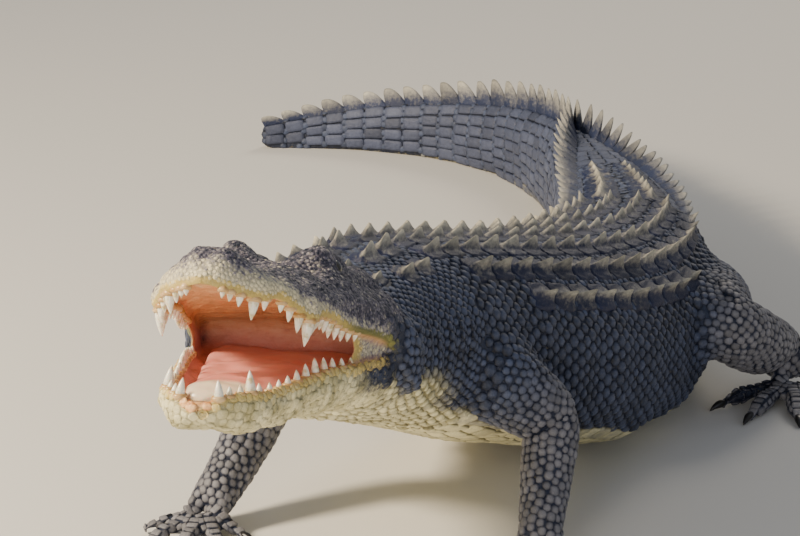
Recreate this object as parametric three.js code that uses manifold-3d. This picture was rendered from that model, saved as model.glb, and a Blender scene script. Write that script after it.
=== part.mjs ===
// American alligator, life size: forebody raised on its front legs, mouth open, belly and tail on the floor.
// Millimetres, +Z up. The origin is on the floor under the middle of the belly.
// The animal faces -Y, so +X is its left side. "Along" is the distance behind the rear of the skull.

import * as THREE from 'three';
import { mergeVertices } from 'three/addons/utils/BufferGeometryUtils.js';
import Module from 'manifold-3d';

const wasm = await Module();
wasm.setup();

// Head, measured in parts of its own length from the tip of the snout to the rear of the skull
const HEAD_LENGTH = 420;
const HEAD_YAW = 14;
const UPPER_JAW_PITCH = 22.9;
const LOWER_JAW_PITCH = 8.4;
const SNOUT_TIP_HEIGHT = 500;
const JAW_HINGE = [1.05, 0, -0.03];
const LOWER_JAW_SETBACK = 0.02;
const HEAD_REAR = 1.04;
const SKULL_TOP = 0.16;
const JOINT_GAP = 0.3;
const FINEST = 0.05;

// Body: along, heading, lean of the section, height of the back, half width, depth, squareness
const BODY_ROWS = [
  [-60, 14, 16, 390, 118, 136, 2.3],
  [40, 14, 12, 390, 118, 156, 2.3],
  [130, 16, 5, 386, 124, 182, 2.3],
  [250, 21, 6, 372, 142, 216, 2.3],
  [400, 26, 9, 342, 166, 242, 2.2],
  [550, 28, 10, 306, 182, 254, 2.2],
  [700, 28, 8, 274, 182, 260, 2.2],
  [850, 25, 5, 250, 164, 252, 2.3],
  [1000, 14, 3, 234, 136, 238, 2.4],
  [1100, 6, 2, 224, 118, 228, 2.6],
  [1200, 1, 0, 212, 103, 218, 2.8],
  [1300, -2, 0, 200, 92, 206, 3.0],
  [1450, -4, 0, 186, 77, 192, 3.0],
  [1650, -5, 0, 166, 58, 172, 2.8],
  [1850, -9, 0, 148, 42, 152, 2.6],
  [2050, -20, 0, 126, 30, 132, 2.4],
  [2250, -46, 0, 100, 20, 108, 2.3],
  [2450, -76, 0, 70, 13, 77, 2.2],
  [2650, -98, 0, 30, 5, 38, 2.0],
];
const BODY_END = 2640;
const ORIGIN_ALONG = 850;
const WIDEST_LEVEL = 0.55;
const BELLY_SQUARENESS = 2.8;
const NECK_TORSO_CUT = 226;

const radians = THREE.MathUtils.degToRad;
const vector = (x, y, z) => new THREE.Vector3(x, y, z);

// A smooth curve through the rows of a table: the first column is the place, the others are values
function smoothRows(rows) {
  const slope = (i, column) => {
    const before = rows[Math.max(i - 1, 0)];
    const after = rows[Math.min(i + 1, rows.length - 1)];
    return (after[column] - before[column]) / (after[0] - before[0]);
  };
  return (place) => {
    let i = 0;
    while (i < rows.length - 2 && place > rows[i + 1][0]) i += 1;
    const span = rows[i + 1][0] - rows[i][0];
    const t = (place - rows[i][0]) / span;
    return rows[i].slice(1).map((value, index) => {
      const column = index + 1;
      const next = rows[i + 1][column];
      return (2 * t ** 3 - 3 * t ** 2 + 1) * value
        + (t ** 3 - 2 * t ** 2 + t) * span * slope(i, column)
        + (3 * t ** 2 - 2 * t ** 3) * next
        + (t ** 3 - t ** 2) * span * slope(i + 1, column);
    });
  };
}

const bodyAt = smoothRows(BODY_ROWS);

// The line of the spine on the floor, walked in short steps along the heading
const SPINE_STEP = 10;
const spineWalk = [];
{
  let x = 0;
  let y = 0;
  for (let along = BODY_ROWS[0][0]; along <= BODY_ROWS.at(-1)[0]; along += SPINE_STEP) {
    spineWalk.push([along, x, y]);
    const heading = radians(bodyAt(along + SPINE_STEP / 2)[0]);
    x += Math.sin(heading) * SPINE_STEP;
    y += Math.cos(heading) * SPINE_STEP;
  }
}

function spineOnFloor(along) {
  const place = (along - spineWalk[0][0]) / SPINE_STEP;
  const i = THREE.MathUtils.clamp(Math.floor(place), 0, spineWalk.length - 2);
  const [, x, y] = spineWalk[i];
  const [, nextX, nextY] = spineWalk[i + 1];
  const t = place - i;
  return [x + (nextX - x) * t, y + (nextY - y) * t];
}

const [ORIGIN_X, ORIGIN_Y] = spineOnFloor(ORIGIN_ALONG);

// The axes of the body at one place: towards the tail, to the left, and up the leaning section
function bodyFrame(along) {
  const [heading, lean, top, half, depth, square] = bodyAt(along);
  const [x, y] = spineOnFloor(along);
  const level = vector(Math.sin(radians(heading)), Math.cos(radians(heading)), 0);
  const left = vector(Math.cos(radians(heading)), -Math.sin(radians(heading)), 0);
  const up = level.clone().multiplyScalar(Math.sin(radians(lean)));
  up.z = Math.cos(radians(lean));
  const back = left.clone().cross(up).negate();
  const centre = vector(x - ORIGIN_X, y - ORIGIN_Y, top - depth * WIDEST_LEVEL);
  return { centre, left, up, back, half, depth, square };
}

// A point of the skin: the angle is 0 on the back and 90 on the left flank
function bodyPoint(along, angle, out = 0) {
  const { centre, left, up, half, depth, square } = bodyFrame(along);
  const sine = Math.sin(radians(angle));
  const cosine = Math.cos(radians(angle));
  const power = 2 / (cosine > 0 ? square : BELLY_SQUARENESS);
  const height = cosine > 0 ? depth * WIDEST_LEVEL : depth * (1 - WIDEST_LEVEL);
  const across = (half + out) * Math.sign(sine) * Math.abs(sine) ** power;
  const rise = (height + out) * Math.sign(cosine) * Math.abs(cosine) ** power;
  return centre.clone().addScaledVector(left, across).addScaledVector(up, rise);
}

// Solids from triangles, turned so that their faces point out
function solid(points, triangles) {
  let volume = 0;
  for (const [a, b, c] of triangles) {
    volume += points[a].dot(points[b].clone().cross(points[c]));
  }
  const geometry = new THREE.BufferGeometry().setFromPoints(points);
  geometry.setIndex(triangles.flatMap(([a, b, c]) => (volume > 0 ? [a, b, c] : [a, c, b])));
  return solidOf(geometry);
}

function solidOf(geometry) {
  const bare = geometry.clone();
  bare.deleteAttribute('normal');
  bare.deleteAttribute('uv');
  const merged = mergeVertices(bare, 1e-3);
  const vertProperties = new Float32Array(merged.attributes.position.array);
  const triVerts = new Uint32Array(merged.index.array);
  return new wasm.Manifold(new wasm.Mesh({ numProp: 3, vertProperties, triVerts }));
}

// A closed skin through rings that all have the same number of points
function loft(rings) {
  const count = rings[0].length;
  const points = rings.flat();
  const triangles = [];
  for (let r = 0; r < rings.length - 1; r += 1) {
    for (let i = 0; i < count; i += 1) {
      const a = r * count + i;
      const b = r * count + (i + 1) % count;
      triangles.push([a, b, b + count], [a, b + count, a + count]);
    }
  }
  for (const [ring, first] of [[rings[0], 0], [rings.at(-1), points.length - count]]) {
    const middle = ring.reduce((sum, p) => sum.add(p), vector(0, 0, 0)).divideScalar(count);
    points.push(middle);
    for (let i = 0; i < count; i += 1) {
      const pair = [first + i, first + (i + 1) % count];
      triangles.push(first === 0 ? [points.length - 1, pair[1], pair[0]] : [points.length - 1, ...pair]);
    }
  }
  return solid(points, triangles);
}

// Cuts away all that lies on the far side of a plane
function trim(body, point, normal) {
  const n = normal.clone().normalize();
  return body.trimByPlane(n.toArray(), n.dot(point));
}

const aboveFloor = (body) => trim(body, vector(0, 0, 0), vector(0, 0, 1));

// The one closed body that is kept after the joins and cuts, without faces too fine to hold
function largest(body) {
  const pieces = body.decompose();
  pieces.sort((a, b) => b.volume() - a.volume());
  return pieces[0].simplify(FINEST);
}

// The angle round the section at a distance from the midline, measured over the skin
const ANGLE_STEP = 1.5;
const ANGLE_LIMIT = 150;

function angleAcross(along, distance) {
  let walked = 0;
  let angle = 0;
  let last = bodyPoint(along, 0);
  while (walked < Math.abs(distance) && angle < ANGLE_LIMIT) {
    const next = bodyPoint(along, angle + ANGLE_STEP);
    const stride = next.distanceTo(last);
    angle += ANGLE_STEP * Math.min(1, (Math.abs(distance) - walked) / stride);
    walked += stride;
    last = next;
  }
  return Math.sign(distance) * angle;
}

// Small true differences between like plates: each number of a plate gives the same draw at every run
function vary(number, amount) {
  const draw = Math.abs(Math.sin(number * 12.9898 + 4.1) * 43758.5453) % 1;
  return 1 + amount * (2 * draw - 1);
}

// Rows of plates across the trunk: four to a side
const TRUNK_ROWS = 17;
const TRUNK_START = 232;
const TRUNK_ROW_STEP = 51;
const TRUNK_PLATE_WIDTHS = [46, 49, 47, 43];
const TRUNK_PLATE_HEIGHTS = [16, 19, 20, 17];
const TRUNK_COLUMNS = [2, 3, 3, 4, 4, 4, 4, 4, 4, 4, 4, 4, 4, 3, 3, 3, 3];
const TRUNK_END = TRUNK_START + TRUNK_ROWS * TRUNK_ROW_STEP;
const NARROWEST_ROW = 0.74;
const WIDENING = 0.3;
const WIDENING_ARC = [0.1, 0.96];

function plateEdges(along) {
  const share = THREE.MathUtils.clamp((along - TRUNK_START) / (TRUNK_END - TRUNK_START), 0, 1);
  const arc = THREE.MathUtils.lerp(...WIDENING_ARC, share);
  const fullness = NARROWEST_ROW + WIDENING * Math.sin(Math.PI * arc);
  const edges = [0];
  for (const width of TRUNK_PLATE_WIDTHS) edges.push(edges.at(-1) + width * fullness);
  return edges;
}

// Rings of the tail: a crest on either side that meets in one, and inner plates near the root
const TAIL_RINGS = 38;
const TAIL_START = TRUNK_END + 6;
const TAIL_RING_STEP = 46;
const TAIL_STEP_LOSS = 0.34;
const CRESTS_MEET = 17;
const CREST_WIDTH = 15;
const CREST_SPREAD = 0.74;
const CREST_SPLAY = 0.6;
const CREST_HEIGHTS = smoothRows([[0, 18], [5, 31], [11, 42], [17, 47], [24, 43], [31, 30], [38, 13]]);
const CREST_ROOM = CREST_WIDTH * 0.6;
const SINGLE_CREST_EDGES = [0, CREST_ROOM, CREST_ROOM * 1.7];
const LEAST_APART = CREST_ROOM * 1.5;
const INNER_RINGS = 8;
const INNER_PLATE_HEIGHT = 15;
const INNER_PLATE_PLACE = 0.3;
const INNER_PLATE_WIDTH = 0.46;
const tailRings = [];
for (let ring = 0; ring < TAIL_RINGS; ring += 1) {
  const length = TAIL_RING_STEP - TAIL_STEP_LOSS * ring;
  const start = ring === 0 ? TAIL_START : tailRings[ring - 1].end;
  const middle = start + length / 2;
  const apart = ring < CRESTS_MEET ? bodyFrame(middle).half * CREST_SPREAD * (1 - (ring / CRESTS_MEET) ** 3) : 0;
  tailRings.push({ ring, start, middle, end: start + length, length, apart });
}
const MOST_APART = tailRings[0].apart;

function crestEdges(along) {
  const { apart } = tailRings.find(({ end }) => along < end + 1e-6) ?? tailRings.at(-1);
  return apart > LEAST_APART ? [0, apart - CREST_ROOM, apart + CREST_ROOM] : SINGLE_CREST_EDGES;
}

// Places of the rings and the angles of their points follow the edges of the plates
const NECK_RINGS = [0, 42, 98, 162];

function ringPlaces(from, to) {
  const edges = [...NECK_RINGS];
  for (let row = 0; row <= TRUNK_ROWS; row += 1) edges.push(TRUNK_START + row * TRUNK_ROW_STEP);
  for (const { end } of tailRings) edges.push(end);
  const inside = edges.filter((along) => along > from + 8 && along < to - 8);
  return [from, ...inside, to];
}

const SIDE_STEPS = 8;

function ringAngles(along) {
  const edges = along < TAIL_START ? plateEdges(along) : crestEdges(along);
  const angles = edges.map((distance) => angleAcross(along, distance));
  const last = angles.at(-1);
  for (let i = 1; i <= SIDE_STEPS; i += 1) angles.push(last + ((180 - last) * i) / SIDE_STEPS);
  const right = angles.slice(1, -1).reverse().map((angle) => -angle);
  return [...angles, ...right];
}

const CUT_SPARE = 12;

function bodyLoft(from, to, out = 0) {
  return loft(ringPlaces(from - CUT_SPARE, to + CUT_SPARE).map((along) => {
    const anglesAt = THREE.MathUtils.clamp(along, from + 1, to - 1);
    return ringAngles(anglesAt).map((angle) => bodyPoint(along, angle, out));
  }));
}

// The tail is divided between its rings
const TAIL_LENGTHS = [6, 13, 20, 28];
const TAIL_CUTS = [TAIL_START, ...TAIL_LENGTHS.map((ring) => tailRings[ring].start)];

function cutBehind(body, along) {
  const { centre, back } = bodyFrame(along);
  return trim(body, centre.clone().addScaledVector(back, -JOINT_GAP / 2), back.clone().negate());
}

function cutInFront(body, along) {
  const { centre, back } = bodyFrame(along);
  return trim(body, centre.clone().addScaledVector(back, JOINT_GAP / 2), back);
}

// Head and lower jaw. Their outlines are in parts of the head's length, behind the tip of each jaw.
// Skull: place, half width, top, edge of the table (across, height), cheek (across, height), lip, palate
const HEAD_ROWS = [
  [-0.012, 0.012, 0.036, 0.005, 0.034, 0.010, 0.026, 0.012, 0.014],
  [0.004, 0.050, 0.062, 0.024, 0.058, 0.042, 0.036, 0.004, 0.010],
  [0.024, 0.078, 0.082, 0.042, 0.076, 0.072, 0.044, -0.002, 0.012],
  [0.060, 0.108, 0.100, 0.056, 0.092, 0.098, 0.050, -0.006, 0.016],
  [0.100, 0.132, 0.104, 0.062, 0.094, 0.118, 0.050, -0.010, 0.020],
  [0.155, 0.152, 0.094, 0.070, 0.084, 0.136, 0.046, 0.004, 0.024],
  [0.220, 0.178, 0.092, 0.078, 0.084, 0.160, 0.045, -0.010, 0.028],
  [0.300, 0.208, 0.098, 0.086, 0.088, 0.186, 0.046, -0.030, 0.030],
  [0.375, 0.210, 0.108, 0.092, 0.096, 0.188, 0.052, -0.010, 0.032],
  [0.450, 0.214, 0.118, 0.098, 0.110, 0.192, 0.058, -0.006, 0.034],
  [0.530, 0.226, 0.132, 0.104, 0.130, 0.202, 0.066, -0.014, 0.034],
  [0.600, 0.236, 0.150, 0.110, 0.158, 0.212, 0.074, -0.016, 0.034],
  [0.660, 0.245, 0.160, 0.122, 0.182, 0.220, 0.078, -0.014, 0.032],
  [0.730, 0.256, 0.164, 0.140, 0.180, 0.232, 0.080, -0.012, 0.028],
  [0.800, 0.268, 0.164, 0.158, 0.168, 0.246, 0.078, -0.012, 0.024],
  [0.850, 0.278, 0.164, 0.166, 0.167, 0.258, 0.072, -0.014, 0.014],
  [0.890, 0.286, 0.164, 0.170, 0.166, 0.268, 0.064, -0.030, -0.060],
  [0.940, 0.298, 0.162, 0.172, 0.164, 0.282, 0.052, -0.070, -0.110],
  [1.000, 0.310, 0.158, 0.168, 0.158, 0.296, 0.036, -0.100, -0.120],
  [1.070, 0.312, 0.146, 0.160, 0.144, 0.298, 0.024, -0.110, -0.130],
  [1.140, 0.300, 0.130, 0.150, 0.128, 0.284, 0.014, -0.110, -0.130],
];
// Lower jaw: place, half width, lip, lower edge, floor of the mouth
const JAW_ROWS = [
  [-0.008, 0.016, -0.026, -0.050, -0.030],
  [0.010, 0.056, -0.006, -0.070, -0.014],
  [0.040, 0.088, 0.000, -0.086, -0.022],
  [0.090, 0.118, 0.004, -0.098, -0.030],
  [0.150, 0.134, -0.004, -0.104, -0.036],
  [0.250, 0.154, -0.006, -0.108, -0.042],
  [0.380, 0.178, 0.000, -0.112, -0.046],
  [0.500, 0.202, 0.006, -0.118, -0.046],
  [0.620, 0.224, 0.002, -0.126, -0.044],
  [0.740, 0.246, -0.002, -0.138, -0.040],
  [0.820, 0.262, -0.004, -0.148, -0.034],
  [0.860, 0.272, 0.002, -0.154, 0.010],
  [0.900, 0.280, 0.030, -0.160, 0.060],
  [0.960, 0.292, 0.060, -0.168, 0.080],
  [1.040, 0.302, 0.060, -0.174, 0.080],
  [1.120, 0.296, 0.050, -0.170, 0.070],
];
const headAt = smoothRows(HEAD_ROWS);
const jawAt = smoothRows(JAW_ROWS);
const LIP_THICKNESS = 0.018;
const GUM_WIDTH = 0.045;

// The axes of a jaw that is pitched up: towards its rear, to the left, and up
function jawAxes(pitch) {
  const back = vector(
    Math.sin(radians(HEAD_YAW)) * Math.cos(radians(pitch)),
    Math.cos(radians(HEAD_YAW)) * Math.cos(radians(pitch)),
    -Math.sin(radians(pitch)),
  );
  const left = vector(Math.cos(radians(HEAD_YAW)), -Math.sin(radians(HEAD_YAW)), 0);
  return { back, left, up: left.clone().cross(back) };
}

const skullAxes = jawAxes(UPPER_JAW_PITCH);
const lowerAxes = jawAxes(LOWER_JAW_PITCH);
const middleAxes = jawAxes((UPPER_JAW_PITCH + LOWER_JAW_PITCH) / 2);

const snoutTip = (() => {
  const [x, y] = spineOnFloor(0);
  const pitch = radians(UPPER_JAW_PITCH);
  const reach = HEAD_LENGTH * (Math.cos(pitch) + SKULL_TOP * Math.sin(pitch));
  return vector(
    x - ORIGIN_X - reach * Math.sin(radians(HEAD_YAW)),
    y - ORIGIN_Y - reach * Math.cos(radians(HEAD_YAW)),
    SNOUT_TIP_HEIGHT,
  );
})();

function placed(start, axes, back, left, up) {
  return start.clone()
    .addScaledVector(axes.back, back * HEAD_LENGTH)
    .addScaledVector(axes.left, left * HEAD_LENGTH)
    .addScaledVector(axes.up, up * HEAD_LENGTH);
}

const headPoint = (back, left, up) => placed(snoutTip, skullAxes, back, left, up);
const hinge = headPoint(...JAW_HINGE);
const jawPoint = (back, left, up) => placed(
  hinge,
  lowerAxes,
  back - JAW_HINGE[0] + LOWER_JAW_SETBACK,
  left,
  up - JAW_HINGE[2],
);

// Half of an outline, from the midline above to the midline below, is mirrored into a ring
function mirroredRing(half, toPoint) {
  const right = half.slice(1, -1).reverse().map(([across, height]) => [-across, height]);
  return [...half, ...right].map(([across, height]) => toPoint(across, height));
}

function splineThrough(corners, pieces) {
  const curve = new THREE.SplineCurve(corners.map(([x, y]) => new THREE.Vector2(x, y)));
  return curve.getPoints(pieces).map((p) => [p.x, p.y]);
}

function headRing(place) {
  const [half, top, tableAcross, tableHeight, cheekAcross, cheekHeight, lip, palate] = headAt(place);
  const outside = splineThrough([
    [0, top],
    [tableAcross, tableHeight],
    [cheekAcross, cheekHeight],
    [half, lip + LIP_THICKNESS],
  ], 9);
  const gum = Math.min(GUM_WIDTH, half * 0.5);
  const inside = [
    [half - 0.003, lip],
    [half - gum * 0.4, lip + 0.002],
    [half - gum, (lip + palate) / 2],
    [half * 0.5, palate],
    [0, palate + 0.004],
  ];
  return mirroredRing([...outside, ...inside], (across, height) => headPoint(place, across, height));
}

function jawRing(place) {
  const [half, lip, bottom, floor] = jawAt(place);
  const gum = Math.min(GUM_WIDTH, half * 0.5);
  const inside = [
    [0, floor],
    [half * 0.5, floor],
    [half - gum, (floor + lip) / 2],
    [half - gum * 0.4, lip - 0.002],
    [half - 0.003, lip],
  ];
  const outside = splineThrough([
    [half, lip - LIP_THICKNESS],
    [half * 0.97, lip * 0.5 + bottom * 0.5],
    [half * 0.66, bottom * 0.93 + lip * 0.07],
    [0, bottom],
  ], 8);
  return mirroredRing([...inside, ...outside], (across, height) => jawPoint(place, across, height));
}

// The plane between the closed ends of the jaws, and the plane between the head and the neck
const headRear = headPoint(HEAD_REAR, 0, 0);
const belowSkull = (body) => trim(
  body,
  hinge.clone().addScaledVector(middleAxes.up, -JOINT_GAP / 2),
  middleAxes.up.clone().negate(),
);
const aboveJaw = (body) => trim(body, hinge.clone().addScaledVector(middleAxes.up, JOINT_GAP / 2), middleAxes.up);
const aheadOfNeck = (body) => trim(
  body,
  headRear.clone().addScaledVector(middleAxes.back, -JOINT_GAP / 2),
  middleAxes.back.clone().negate(),
);
const behindHead = (body) => trim(
  body,
  headRear.clone().addScaledVector(middleAxes.back, JOINT_GAP / 2),
  middleAxes.back,
);

// Teeth: pointed cones set in the gum, given as place behind the tip and length in millimetres
const UPPER_TEETH = [
  [0.013, 8], [0.026, 9], [0.048, 12], [0.086, 21], [0.126, 11], [0.190, 10], [0.225, 13], [0.261, 17],
  [0.302, 27], [0.342, 16], [0.378, 13], [0.412, 13], [0.446, 15], [0.480, 17], [0.520, 15], [0.560, 13],
  [0.605, 11], [0.650, 9],
];
const LOWER_TEETH = [
  [0.018, 19], [0.040, 10], [0.068, 10], [0.102, 22], [0.145, 10], [0.200, 9], [0.250, 9], [0.300, 10],
  [0.350, 12], [0.400, 15], [0.450, 17], [0.500, 15], [0.550, 12], [0.605, 10], [0.660, 9],
];
const TOOTH_SIDES = 5;
const TOOTH_ROOT = 7;
const TOOTH_INSET = 0.018;
const TOOTH_RADIUS = [2.2, 0.17];
const TOOTH_LEAN = [0.006, 0.004];

function cone(base, tip, radius, root, sides = TOOTH_SIDES) {
  const axis = tip.clone().sub(base);
  const length = axis.length() + root;
  const geometry = new THREE.ConeGeometry(radius, length, sides, 1);
  const turn = new THREE.Quaternion().setFromUnitVectors(vector(0, 1, 0), axis.clone().normalize());
  const middle = base.clone().add(tip).multiplyScalar(0.5).addScaledVector(axis.normalize(), -root / 2);
  geometry.applyMatrix4(new THREE.Matrix4().compose(middle, turn, vector(1, 1, 1)));
  return solidOf(geometry);
}

function teeth(rows, outlineAt, lipColumn, toPoint, direction) {
  const cones = [];
  for (const [place, length] of rows) {
    const outline = outlineAt(place);
    const across = outline[0] - TOOTH_INSET;
    const lip = outline[lipColumn];
    for (const side of [1, -1]) {
      const base = toPoint(place, side * across, lip);
      const [backwards, inwards] = TOOTH_LEAN;
      const tip = toPoint(place + backwards, side * (across - inwards), lip + (direction * length) / HEAD_LENGTH);
      cones.push(cone(base, tip, TOOTH_RADIUS[0] + TOOTH_RADIUS[1] * length, TOOTH_ROOT));
    }
  }
  return cones;
}

// Eyes: balls under a brow, with a lid as a raised ring
const EYE_RADIUS = 15;
const EYE_PLACE = [0.672, 0.136, 0.146];

const eyeCentre = (side) => headPoint(EYE_PLACE[0], side * EYE_PLACE[1], EYE_PLACE[2]);

function ball(centre, radius, detail = 1) {
  const geometry = new THREE.IcosahedronGeometry(radius, detail);
  geometry.translate(centre.x, centre.y, centre.z);
  return solidOf(geometry);
}

// A lid is a raised ring that faces outwards, upwards and a little forwards
const LID_RADIUS = 13;
const LID_THICKNESS = 4;

function lid(side) {
  const facing = skullAxes.left.clone().multiplyScalar(side)
    .addScaledVector(skullAxes.up, 0.62)
    .addScaledVector(skullAxes.back, -0.3)
    .normalize();
  const geometry = new THREE.TorusGeometry(LID_RADIUS, LID_THICKNESS, 5, 10);
  geometry.scale(1.3, 0.92, 1);
  const lengthways = skullAxes.back.clone().addScaledVector(facing, -skullAxes.back.dot(facing)).normalize();
  const turn = new THREE.Matrix4().makeBasis(lengthways, facing.clone().cross(lengthways), facing);
  geometry.applyMatrix4(turn.setPosition(eyeCentre(side).addScaledVector(facing, EYE_RADIUS * 0.48)));
  return solidOf(geometry);
}

// A block with eight corners, given as [back, left, up] in parts of the head's length, near face first
function block(corners) {
  const points = corners.map(([back, left, up]) => headPoint(back, left, up));
  return solid(points, [
    [0, 1, 2], [0, 2, 3], [4, 6, 5], [4, 7, 6], [0, 4, 5], [0, 5, 1],
    [1, 5, 6], [1, 6, 2], [2, 6, 7], [2, 7, 3], [3, 7, 4], [3, 4, 0],
  ]);
}

// The ear flap hangs over a slit behind the eye, along the edge of the skull table
const EAR_START = 0.765;
const EAR_END = 0.965;
const EAR_FLAP = [[0.150, 0.158], [0.182, 0.158], [0.186, 0.146], [0.150, 0.140]];
const EAR_SLIT = [[0.168, 0.139], [0.215, 0.137], [0.215, 0.124], [0.168, 0.130]];
const EAR_SLIT_INSET = [0.015, 0.02];

// A bar beside the skull table from one place to another, with the same section all along
function sideBar(section, from, to, side) {
  const corners = [from, to].flatMap((back) => section.map(([across, up]) => [back, side * across, up]));
  return block(corners);
}

const earFlap = (side) => sideBar(EAR_FLAP, EAR_START, EAR_END, side);
const earSlit = (side) => sideBar(EAR_SLIT, EAR_START + EAR_SLIT_INSET[0], EAR_END - EAR_SLIT_INSET[1], side);

// Nostrils: a domed rim with a pit that opens upwards
const NOSTRIL_PLACE = [0.092, 0.036, 0.094];
const NOSTRIL_RADIUS = 14;
const NOSTRIL_FLATNESS = 0.8;
const PIT_RADIUS = 6;
const PIT_OFFSET = [-0.006, 0.006, 0.028];

function dome(centre, radius, flatness) {
  const geometry = new THREE.IcosahedronGeometry(radius, 0);
  geometry.scale(1, 1, flatness);
  geometry.translate(centre.x, centre.y, centre.z);
  return solidOf(geometry);
}

function head() {
  let body = aheadOfNeck(aboveJaw(loft(HEAD_ROWS.map(([place]) => headRing(place)))));
  const raised = teeth(UPPER_TEETH, headAt, 6, headPoint, -1);
  const sunk = [];
  for (const side of [1, -1]) {
    const [back, across, height] = NOSTRIL_PLACE;
    const rim = headPoint(back, side * across, height);
    raised.push(lid(side), earFlap(side), dome(rim, NOSTRIL_RADIUS, NOSTRIL_FLATNESS));
    sunk.push(ball(eyeCentre(side), EYE_RADIUS + JOINT_GAP), earSlit(side));
    const [pitBack, pitAcross, pitUp] = PIT_OFFSET;
    sunk.push(dome(headPoint(back + pitBack, side * (across + pitAcross), height + pitUp), PIT_RADIUS, 1));
  }
  body = body.add(wasm.Manifold.union(raised)).subtract(wasm.Manifold.union(sunk));
  return largest(body);
}

function lowerJaw() {
  const rings = JAW_ROWS.map(([place]) => jawRing(place));
  let body = aheadOfNeck(belowSkull(loft(rings)));
  body = body.add(wasm.Manifold.union(teeth(LOWER_TEETH, jawAt, 1, jawPoint, 1)));
  return largest(body.subtract(tongueSolid(JOINT_GAP)));
}

// Tongue: a broad slab on the floor of the mouth
const TONGUE_ROWS = [
  [0.150, 0.030, -0.030],
  [0.170, 0.068, -0.018],
  [0.230, 0.094, -0.006],
  [0.400, 0.122, 0.000],
  [0.600, 0.156, 0.004],
  [0.760, 0.184, 0.008],
  [0.830, 0.190, 0.004],
];
const TONGUE_ROOT = -0.050;
const tongueAt = smoothRows(TONGUE_ROWS);

function tongueSolid(out = 0) {
  const rings = [];
  const grow = out / HEAD_LENGTH;
  const first = TONGUE_ROWS[0][0];
  const last = TONGUE_ROWS.at(-1)[0];
  const steps = 10;
  for (let i = 0; i <= steps; i += 1) {
    const place = first + ((last - first) * i) / steps;
    const [half, top] = tongueAt(place);
    const end = i === 0 ? -grow : 0;
    const stretched = place + (i === steps ? grow : end);
    const halfRing = [
      [0, top + grow],
      [half * 0.45, top + grow],
      [half * 0.85, top - 0.006 + grow],
      [half + grow, top - 0.018],
      [half * 0.9 + grow, TONGUE_ROOT - grow],
      [0, TONGUE_ROOT - grow],
    ];
    rings.push(mirroredRing(halfRing, (across, height) => jawPoint(stretched, across, height)));
  }
  return loft(rings);
}

// Back plates: flat rims with a keel that rises towards the tail, their roots sunk in the skin
const PLATE_ROOT = 9;
const PLATE_RIM = 2.5;
const RIDGE_ROOT = 4;
const PLATE_COVER = 0.92;

function plate({ point, back, across, out }, length, width, height) {
  const at = (b, a, o) => point.clone()
    .addScaledVector(back, b * length)
    .addScaledVector(across, a * width)
    .addScaledVector(out, o);
  const rimHeight = Math.min(PLATE_RIM, height * 0.4);
  const corners = [[-0.47, -0.47], [-0.47, 0.47], [0.47, 0.47], [0.47, -0.47]];
  const root = corners.map(([b, a]) => at(b, a, -PLATE_ROOT));
  const rim = corners.map(([b, a]) => at(b, a, rimHeight));
  const keel = [at(-0.4, 0, rimHeight + height * 0.2), at(0.2, 0, height), at(0.46, 0, height * 0.72)];
  const triangles = [[0, 1, 2], [0, 2, 3]];
  for (let i = 0; i < 4; i += 1) {
    const j = (i + 1) % 4;
    triangles.push([i, i + 4, j + 4], [i, j + 4, j]);
  }
  triangles.push([4, 8, 5], [5, 8, 9], [5, 9, 6], [6, 9, 10], [6, 10, 7], [7, 10, 9], [7, 9, 4], [4, 9, 8]);
  return solid([...root, ...rim, ...keel], triangles);
}

// A lighter plate: its four sides rise from under the skin to the keel, given as [back, height] shares
const TRUNK_KEEL = [[-0.36, 0.4], [0.22, 1], [0.46, 0.6]];
const CREST_KEEL = [[-0.24, 0.5], [0.3, 1], [0.47, 0.45]];

function ridgePlate({ point, back, across, out }, length, width, height, keelShape) {
  const at = (b, a, o) => point.clone()
    .addScaledVector(back, b * length)
    .addScaledVector(across, a * width)
    .addScaledVector(out, o);
  const root = [[-0.5, -0.52], [-0.5, 0.52], [0.48, 0.52], [0.48, -0.52]].map(([b, a]) => at(b, a, -RIDGE_ROOT));
  const keel = keelShape.map(([b, share]) => at(b, 0, height * share));
  return solid([...root, ...keel], [
    [0, 1, 2], [0, 2, 3], [0, 4, 1], [1, 4, 5], [1, 5, 2], [2, 5, 6], [2, 6, 3], [3, 6, 5], [3, 5, 0], [0, 5, 4],
  ]);
}

function skinFrame(along, distance) {
  const angle = angleAcross(along, distance);
  const point = bodyPoint(along, angle);
  const back = bodyPoint(along + 6, angle).sub(bodyPoint(along - 6, angle)).normalize();
  const across = bodyPoint(along, angle + 2).sub(bodyPoint(along, angle - 2)).normalize();
  const out = across.clone().cross(back).normalize();
  return { point, back, across, out };
}

// A frame that leans over to the left by an amount, so that what stands on it splays outwards
function splayed(frame, amount) {
  const { point, back, across, out } = frame;
  return {
    point,
    back,
    across: across.clone().addScaledVector(out, -amount).normalize(),
    out: out.clone().addScaledVector(across, amount).normalize(),
  };
}

function trunkPlates(out = 0) {
  const plates = [];
  for (let row = 0; row < TRUNK_ROWS; row += 1) {
    const along = TRUNK_START + (row + 0.5) * TRUNK_ROW_STEP;
    const edges = plateEdges(along);
    for (let column = 0; column < TRUNK_COLUMNS[row]; column += 1) {
      const middle = (edges[column] + edges[column + 1]) / 2;
      const width = (edges[column + 1] - edges[column]) * PLATE_COVER;
      for (const side of [1, -1]) {
        const height = TRUNK_PLATE_HEIGHTS[column] * vary(row * 9 + column * 2 + side, 0.12);
        const frame = skinFrame(along, side * middle);
        const length = TRUNK_ROW_STEP * PLATE_COVER;
        plates.push(ridgePlate(frame, length + 3 * out, width + 3 * out, height + 2 * out, TRUNK_KEEL));
      }
    }
  }
  return plates;
}

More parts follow.
